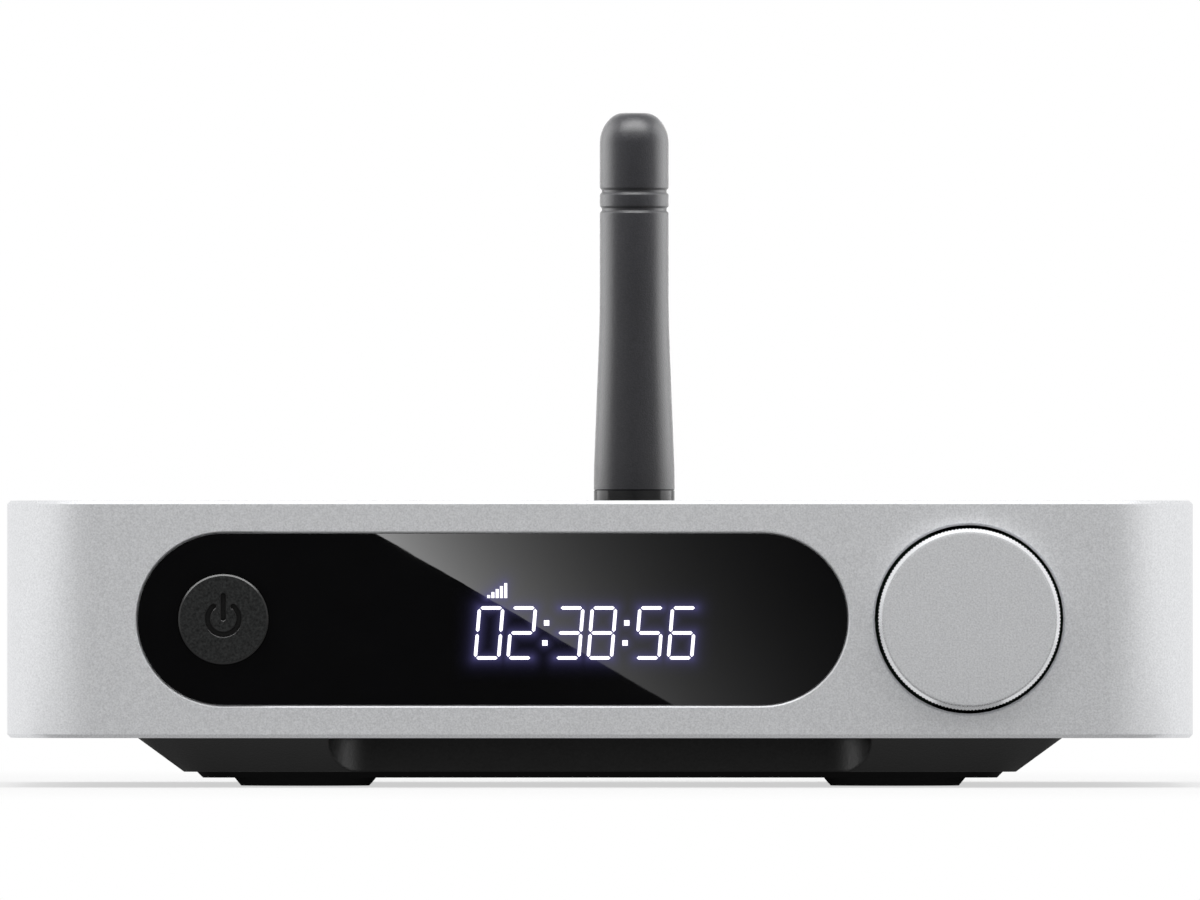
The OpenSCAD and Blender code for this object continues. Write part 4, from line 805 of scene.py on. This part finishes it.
# %% [markdown]
# ## The power button
# A soft-touch cap with the usual power mark sunk into it. The mark could be painted with a texture, but a
# real groove shades itself: dark inside, with a thin light lip below. So the cap is turned on the lathe and
# the mark is cut out of it with a boolean, from a ring with a gap and a short bar, both with round ends.

# %% Button cap
button_lo, button_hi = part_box("power_button")
button_front = near_end(button_lo, button_hi)
flange_r = (button_hi.x - button_lo.x) / 2 / MM
button_l = (button_hi.y - button_lo.y) / MM
BUTTON_R = 4.55
BUTTON_EDGE = 0.16
FLANGE_AT = 2.35
FLANGE_T = 0.9
STEM_R = 1.6
button_outline = [
    (0, 0), (BUTTON_R - BUTTON_EDGE, 0), (BUTTON_R, BUTTON_EDGE), (BUTTON_R, FLANGE_AT),
    (flange_r, FLANGE_AT), (flange_r, FLANGE_AT + FLANGE_T), (STEM_R, FLANGE_AT + FLANGE_T),
    (STEM_R, button_l), (0, button_l),
]
lacquer = grained("glossy_black_lacquer_edge", ("#0D0D0D", "#131313"), 0.3, 0.001, (0.28, 0.32),
                  Specular_IOR_Level=0.4)
button = lathe("power_button_cap", button_outline, button_front, (0, 1, 0), finishes["button_plastic"],
               second=[1])
button.data.materials.append(lacquer)
print("cap is", 2 * BUTTON_R, "mm across")

# %% Strokes with round ends, and prisms through outlines
END_STEPS = 8


def stroke_outline(path, half):
    """The outline of a stroke with round ends along a path of points in the plane."""
    left = []
    right = []
    for i, p in enumerate(path):
        along = (path[min(i + 1, len(path) - 1)] - path[max(i - 1, 0)]).normalized()
        side = Vector((-along.y, along.x)) * half
        left.append(p + side)
        right.append(p - side)

    def cap(tip, start):
        first = start - tip
        turns = [math.pi * k / END_STEPS for k in range(1, END_STEPS)]
        return [tip + Vector((first.x * math.cos(a) + first.y * math.sin(a),
                              first.y * math.cos(a) - first.x * math.sin(a))) for a in turns]

    return left + cap(path[-1], left[-1]) + right[::-1] + cap(path[0], right[0])


def prism(bm, levels, origin, second=()):
    """A solid through outlines in x and z, in mm from the origin, each at its depth along y. The sides that
    start at the levels in second take the object's second finish."""
    rings = [[bm.verts.new(origin + Vector((p.x, depth, p.y)) * MM) for p in outline]
             for depth, outline in levels]
    bm.faces.new(rings[0])
    bm.faces.new(rings[-1][::-1])
    for level, (near, far) in enumerate(zip(rings, rings[1:])):
        for i in range(len(near)):
            j = (i + 1) % len(near)
            bm.faces.new((near[j], near[i], far[i], far[j])).material_index = int(level in second)
    bmesh.ops.recalc_face_normals(bm, faces=bm.faces)


print("round ends in", END_STEPS, "steps")

# %% Mark sunk into the cap
MARK_R = 1.6
MARK_STROKE = 0.48
MARK_DEPTH = 0.35
MARK_LIP = 0.08
MARK_GAP_DEG = 38
MARK_RISE = 0.05
MARK_STEPS = 48
BAR_LOW = 0.1
BAR_HIGH = 2.4
CUT_AHEAD = 0.5
groove_black = grained("matte_black_groove_paint", ("#161616", "#1E1E1E"), 0.15, 0.01, (0.75, 0.85),
                       Specular_IOR_Level=0.15)
open_deg = 360 - 2 * MARK_GAP_DEG
turns = [math.radians(MARK_GAP_DEG + open_deg * k / MARK_STEPS) for k in range(MARK_STEPS + 1)]
ring_path = [Vector((math.sin(a), math.cos(a))) * MARK_R + Vector((0, MARK_RISE)) for a in turns]
bar_path = [Vector((0, BAR_LOW)), Vector((0, (BAR_LOW + BAR_HIGH) / 2)), Vector((0, BAR_HIGH))]
for path, word in ((ring_path, "ring"), (bar_path, "bar")):
    cutter_mesh = bmesh.new()
    floor_line = stroke_outline(path, MARK_STROKE / 2)
    lip_line = stroke_outline(path, MARK_STROKE / 2 + MARK_LIP)
    levels = [(-CUT_AHEAD, lip_line), (0, lip_line), (MARK_LIP, floor_line), (MARK_DEPTH, floor_line)]
    prism(cutter_mesh, levels, button_front, second=[1])
    cutter = finish_mesh("mark_cutter_" + word, cutter_mesh, groove_black)
    cutter.data.materials.append(lacquer)
    cutting = button.modifiers.new("cut_" + word, "BOOLEAN")
    cutting.object = cutter
    cutting.solver = "EXACT"
    cutting.material_mode = "TRANSFER"
    carved = bpy.data.meshes.new_from_object(button.evaluated_get(bpy.context.evaluated_depsgraph_get()))
    button.modifiers.clear()
    button.data = carved
    bpy.data.objects.remove(cutter)
crisp(button.data)
place_piece(button, "power_button", "button_plastic", "power_button")

# %% [markdown]
# The cap's lacquered edge is a narrow mirror, like the knob's bevel. A wide lamp over the button gives it a
# bright crescent along the top.

# %% Lamp over the button
BUTTON_LIGHT_UP = 0.3
BUTTON_LIGHT_LEFT = 0.08
BUTTON_LIGHT_W = 0.8
BUTTON_LIGHT_D = 0.14
BUTTON_RADIANCE = 9.0
over_button = button_front + Vector((-BUTTON_LIGHT_LEFT, 0, BUTTON_LIGHT_UP))
button_light = softbox("button_light", over_button, over_button - Vector((0, 0, 1)), BUTTON_LIGHT_W,
                       BUTTON_LIGHT_D, BUTTON_RADIANCE)
shine_only_on([button], [button_light])
print("a lamp hangs", BUTTON_LIGHT_UP, "m over the button")

# %% [markdown]
# ## The antenna
# The mast is a soft sleeve pulled over a hard collar. Two fingertip grooves near its domed tip have worn,
# rounded lips, which is where the light draws thin lines. Grooves with sharp lips would show hard stripes, so
# their corners are eased.

# %% Sleeve with eased grooves
sleeve_foot = Vector((mast.x, mast.y, sleeve_lo.z))
sleeve_l = (sleeve_hi.z - sleeve_lo.z) / MM
foot_r = (sleeve_hi.x - sleeve_lo.x) / 2 / MM
FOOT_EDGE = 0.12
STRAIGHT = 1.9
STRAIGHT_EASE = 1.2
TAPER_END = 17.9
TAPER_EASE = 3.0
GROOVES = (6.9, 5.0)
GROOVE_HALF = 0.35
GROOVE_FLOOR = 0.12
GROOVE_DEPTH = 0.22
LIP_EASE = 0.08
FLOOR_EASE = 0.06
TIP_R = 3.575
TIP_FLAT = 0.45
TIP_EASE = 0.6
TIP_SKIP = 3
DOME_STEPS = 18
BORE_R = 2.2
dome = sleeve_l - TIP_R + TIP_FLAT
sleeve_outline = [(BORE_R, 0), (foot_r - FOOT_EDGE, 0), (foot_r, FOOT_EDGE),
                  (foot_r, STRAIGHT, STRAIGHT_EASE), (TIP_R, TAPER_END, TAPER_EASE)]
for drop in GROOVES:
    level = dome - drop
    floor_r = TIP_R - GROOVE_DEPTH
    sleeve_outline += [(TIP_R, level - GROOVE_HALF, LIP_EASE), (floor_r, level - GROOVE_FLOOR, FLOOR_EASE),
                       (floor_r, level + GROOVE_FLOOR, FLOOR_EASE), (TIP_R, level + GROOVE_HALF, LIP_EASE)]
flat_turn = math.asin((TIP_R - TIP_FLAT) / TIP_R)
for step in range(DOME_STEPS - TIP_SKIP):
    turn = flat_turn * step / DOME_STEPS
    sleeve_outline.append((TIP_R * math.cos(turn), dome + TIP_R * math.sin(turn)))
sleeve_outline += [(TIP_R * math.cos(flat_turn), sleeve_l, TIP_EASE), (0, sleeve_l), (0, dome),
                   (BORE_R, dome), (BORE_R, 0)]
sleeve = lathe("antenna_mast_sleeve", eased(sleeve_outline), sleeve_foot, (0, 0, 1),
               finishes["sleeve_plastic"])
place_piece(sleeve, "antenna_mast", "sleeve_plastic", "antenna_sleeve")
shine_only_on([sleeve, nodes["antenna_collar"]], antenna_lights)

# %% [markdown]
# The coupling nut at the mast's root is ribbed, because it is tightened by hand. The ribs could be a bump in
# the finish, but they show in the nut's outline, so the lathe cuts them as teeth.

# %% Ribbed coupling nut
nut_lo, nut_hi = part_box("antenna_nut")
nut_r = (nut_hi.x - nut_lo.x) / 2 / MM
nut_l = (nut_hi.y - nut_lo.y) / MM
NUT_EDGE = 0.5
NUT_BORE_R = 3.22
NUT_STEP = 5.8
JOURNAL_R = 2.55
RIB_PITCH = 0.9
RIB_DEPTH = 0.2
nut_outline = [
    (NUT_BORE_R, 0), (nut_r - NUT_EDGE / 2, 0), (nut_r, NUT_EDGE), (nut_r, nut_l - NUT_EDGE),
    (nut_r - NUT_EDGE / 2, nut_l), (JOURNAL_R, nut_l), (JOURNAL_R, NUT_STEP), (NUT_BORE_R, NUT_STEP),
    (NUT_BORE_R, 0),
]
ribbed = [i for i, (r, _) in enumerate(nut_outline) if r == nut_r]
nut = lathe("antenna_coupling_nut", nut_outline, near_end(nut_lo, nut_hi), (0, 1, 0),
            finishes["antenna_plastic"], teeth=round(2 * math.pi * nut_r / RIB_PITCH),
            tooth_depth=RIB_DEPTH, toothed=ribbed)
place_piece(nut, "case", "antenna_plastic", "antenna_nut")

# %% [markdown]
# ## The phono barrels
# The line outputs are brass barrels, turned and gold plated. The mouth of each is rounded inside and out
# so that a plug finds its way on. Plain tubes would do for the shape, but polished gold shows its edges, so
# they are turned on the lathe again with the mouth eased.

# %% Gold-plated barrels
BARREL_BORE_R = 3.55
BARREL_BODY_R = 4.45
BARREL_PIN_R = 4.15
PANEL_INSET = 4.0
COLLAR_T = 0.8
COLLAR_GAP = 0.05
SHOULDER_EASE = 0.1
MOUTH_OUTER_EASE = 0.3
MOUTH_INNER_EASE = 0.2
for word in ("left", "right"):
    barrel_lo, barrel_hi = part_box("line_out_barrel_" + word)
    barrel_l = (barrel_hi.y - barrel_lo.y) / MM
    collar_r = (barrel_hi.x - barrel_lo.x) / 2 / MM
    rear = (shell_hi.y - barrel_lo.y) / MM
    panel_at = rear - PANEL_INSET
    barrel_outline = eased([
        (BARREL_BORE_R, 0), (BARREL_BODY_R, 0), (BARREL_BODY_R, panel_at - COLLAR_T),
        (collar_r, panel_at - COLLAR_T), (collar_r, panel_at - COLLAR_GAP),
        (BARREL_BODY_R, panel_at - COLLAR_GAP), (BARREL_BODY_R, rear, SHOULDER_EASE), (BARREL_PIN_R, rear),
        (BARREL_PIN_R, barrel_l, MOUTH_OUTER_EASE), (BARREL_BORE_R, barrel_l, MOUTH_INNER_EASE),
        (BARREL_BORE_R, 0),
    ])
    barrel = lathe("phono_barrel_" + word, barrel_outline, near_end(barrel_lo, barrel_hi), (0, 1, 0),
                   finishes["line_gold"])
    place_piece(barrel, "case", "line_gold", "line_out_barrel_" + word)

# %% [markdown]
# ## The lit display
# Behind the smoked window a segment display glows through: slanted characters of thin bars with pointed
# ends, white with a violet halo. It shows a running time. The window's finish lets no light through, so
# each lit bar is a thin prism on the window's face.

# %% Shape of the characters
BARS_OF = {"0": "abcdef", "2": "abdeg", "3": "abcdg", "5": "acdfg", "6": "acdefg", "8": "abcdefg"}
CORNERS = {
    "a": ((0, 2), (1, 2)), "b": ((1, 1), (1, 2)), "c": ((1, 0), (1, 1)), "d": ((0, 0), (1, 0)),
    "e": ((0, 0), (0, 1)), "f": ((0, 1), (0, 2)), "g": ((0, 1), (1, 1)),
}
GLYPH_LOW = 13.05
SLANT = 0.085
BAR_HALF = 0.17
BAR_GAP = 0.1


def leaning(x, z):
    """A point of a character, leaning with its height above the line."""
    return Vector((x + SLANT * (z - GLYPH_LOW), z))


def pointed_bar(start, end):
    """The outline of a bar with pointed ends."""
    along = (end - start).normalized()
    side = Vector((-along.y, along.x)) * BAR_HALF
    first = start + along * BAR_GAP
    last = end - along * BAR_GAP
    return [first, first + along * BAR_HALF + side, last - along * BAR_HALF + side, last,
            last - along * BAR_HALF - side, first + along * BAR_HALF - side]


print(len(BARS_OF), "characters of up to", len(CORNERS), "bars")

# %% Lit bars of the running time
CHARACTERS = "02:38:56"
GLYPH_W = 2.35
GLYPH_H = 5.05
GLYPH_PITCH = 3.3
GLYPHS_LEFT_OF_MIDDLE = 1.75
COLON_PITCH = 1.5
COLON_HEIGHTS = (0.3, 0.7)
DOT_AT = 0.3
DOT_HALF = 0.27
glyph_left = (window_lo.x + window_hi.x) / 2 / MM - GLYPHS_LEFT_OF_MIDDLE
lit_outlines = []
lit_lines = []
left = glyph_left
for character in CHARACTERS:
    if character == ":":
        for height in COLON_HEIGHTS:
            dot = leaning(left + DOT_AT, GLYPH_LOW + GLYPH_H * height)
            lit_outlines.append([dot + Vector(v) * DOT_HALF for v in ((-1, -1), (-1, 1), (1, 1), (1, -1))])
            lit_lines.append((dot, dot))
        left += COLON_PITCH
        continue
    for bar in BARS_OF[character]:
        ends = [leaning(left + GLYPH_W * x, GLYPH_LOW + GLYPH_H * z / 2) for x, z in CORNERS[bar]]
        lit_outlines.append(pointed_bar(*ends))
        lit_lines.append(tuple(ends))
    left += GLYPH_PITCH
glyphs_w = left - glyph_left
print("running time is", round(glyphs_w, 1), "mm wide")

# %% Rising signal bars
SIGNAL_AT = 1.2
SIGNAL_LOW = 19.1
SIGNAL_STEPS = 5
SIGNAL_PITCH = 0.43
SIGNAL_W = 0.3
SIGNAL_TOP = 1.5
for step in range(SIGNAL_STEPS):
    left = glyph_left + SIGNAL_AT + SIGNAL_PITCH * step
    top = SIGNAL_LOW + SIGNAL_TOP * (step + 1) / SIGNAL_STEPS
    lit_outlines.append([Vector((left, SIGNAL_LOW)), Vector((left, top)), Vector((left + SIGNAL_W, top)),
                         Vector((left + SIGNAL_W, SIGNAL_LOW))])
    lit_lines.append((Vector((left, SIGNAL_LOW)), Vector((left, top))))
print(len(lit_outlines), "lit shapes")

# %% Lit shapes as thin prisms on the window
BAR_T = 0.02
lit_mesh = bmesh.new()
display_face = Vector((0, window_lo.y, 0))
for outline in lit_outlines:
    prism(lit_mesh, [(-BAR_T, outline), (0, outline)], display_face)
lit_white = grained("lit_display_segments", ("#F0EEFF", "#F8F6FF"), 0.3, 0.001, (0.55, 0.65),
                    Emission_Color=linear("#F6F3FF"), Emission_Strength=1.0)
segments = finish_mesh("lit_segments", lit_mesh, lit_white)
place_piece(segments, "case", "display_glass")

# %% [markdown]
# Light that spreads inside a real window gives its characters a soft halo. A glare filter could draw it on
# the finished picture, but then the model itself would have none. So the halo is a fine grid on the window,
# whose points know how far they are from the nearest lit bar.

# %% Strength of the violet halo on a fine grid
HALO_STEP = 0.2
HALO_MARGIN = 2.6
HALO_REACH = 0.42
HALO_PEAK = 0.32
HALO_LIFT = 0.008
HALO_FADE_STEPS = 4


def distance_to(point, line):
    """How far a point lies from the line between two ends."""
    start, end = line
    run = end - start
    share = 0 if run.length == 0 else max(0, min(1, (point - start).dot(run) / run.length_squared))
    return (point - start - run * share).length


halo_left = glyph_left - HALO_MARGIN
halo_low = GLYPH_LOW - HALO_MARGIN
halo_cols = round((glyphs_w + 2 * HALO_MARGIN) / HALO_STEP)
halo_rows = round((SIGNAL_LOW + SIGNAL_TOP - GLYPH_LOW + 2 * HALO_MARGIN) / HALO_STEP)
halo_points = []
halo_values = []
for row in range(halo_rows + 1):
    for col in range(halo_cols + 1):
        spot = Vector((halo_left + col * HALO_STEP, halo_low + row * HALO_STEP))
        near = min(distance_to(spot, line) for line in lit_lines)
        edge = min(row, halo_rows - row, col, halo_cols - col) / HALO_FADE_STEPS
        halo_points.append((spot.x * MM, window_lo.y - HALO_LIFT * MM, spot.y * MM))
        halo_values.append(HALO_PEAK * math.exp(-near / HALO_REACH) * min(1, edge))
print("halo is strongest at", round(max(halo_values), 2))

# %% Violet halo round the lit bars
wide = halo_cols + 1
halo_faces = [(r * wide + c, r * wide + c + 1, (r + 1) * wide + c + 1, (r + 1) * wide + c)
              for r in range(halo_rows) for c in range(halo_cols)]
halo_violet, halo_tree, halo_shader = start_material("violet_display_halo", linear("#000000"),
                                                     Roughness=1.0, Specular_IOR_Level=0.0,
                                                     Emission_Strength=0.8, Emission_Color=linear("#8580D0"))
halo_share = add_node(halo_tree, "ShaderNodeAttribute", attribute_name="halo")
halo_tree.links.new(halo_share.outputs["Fac"], halo_shader.inputs["Alpha"])
halo = mesh_piece("display_halo", halo_points, halo_faces, halo_violet)
halo.data.attributes.new("halo", "FLOAT", "POINT").data.foreach_set("value", halo_values)
place_piece(halo, "case", "display_glass")
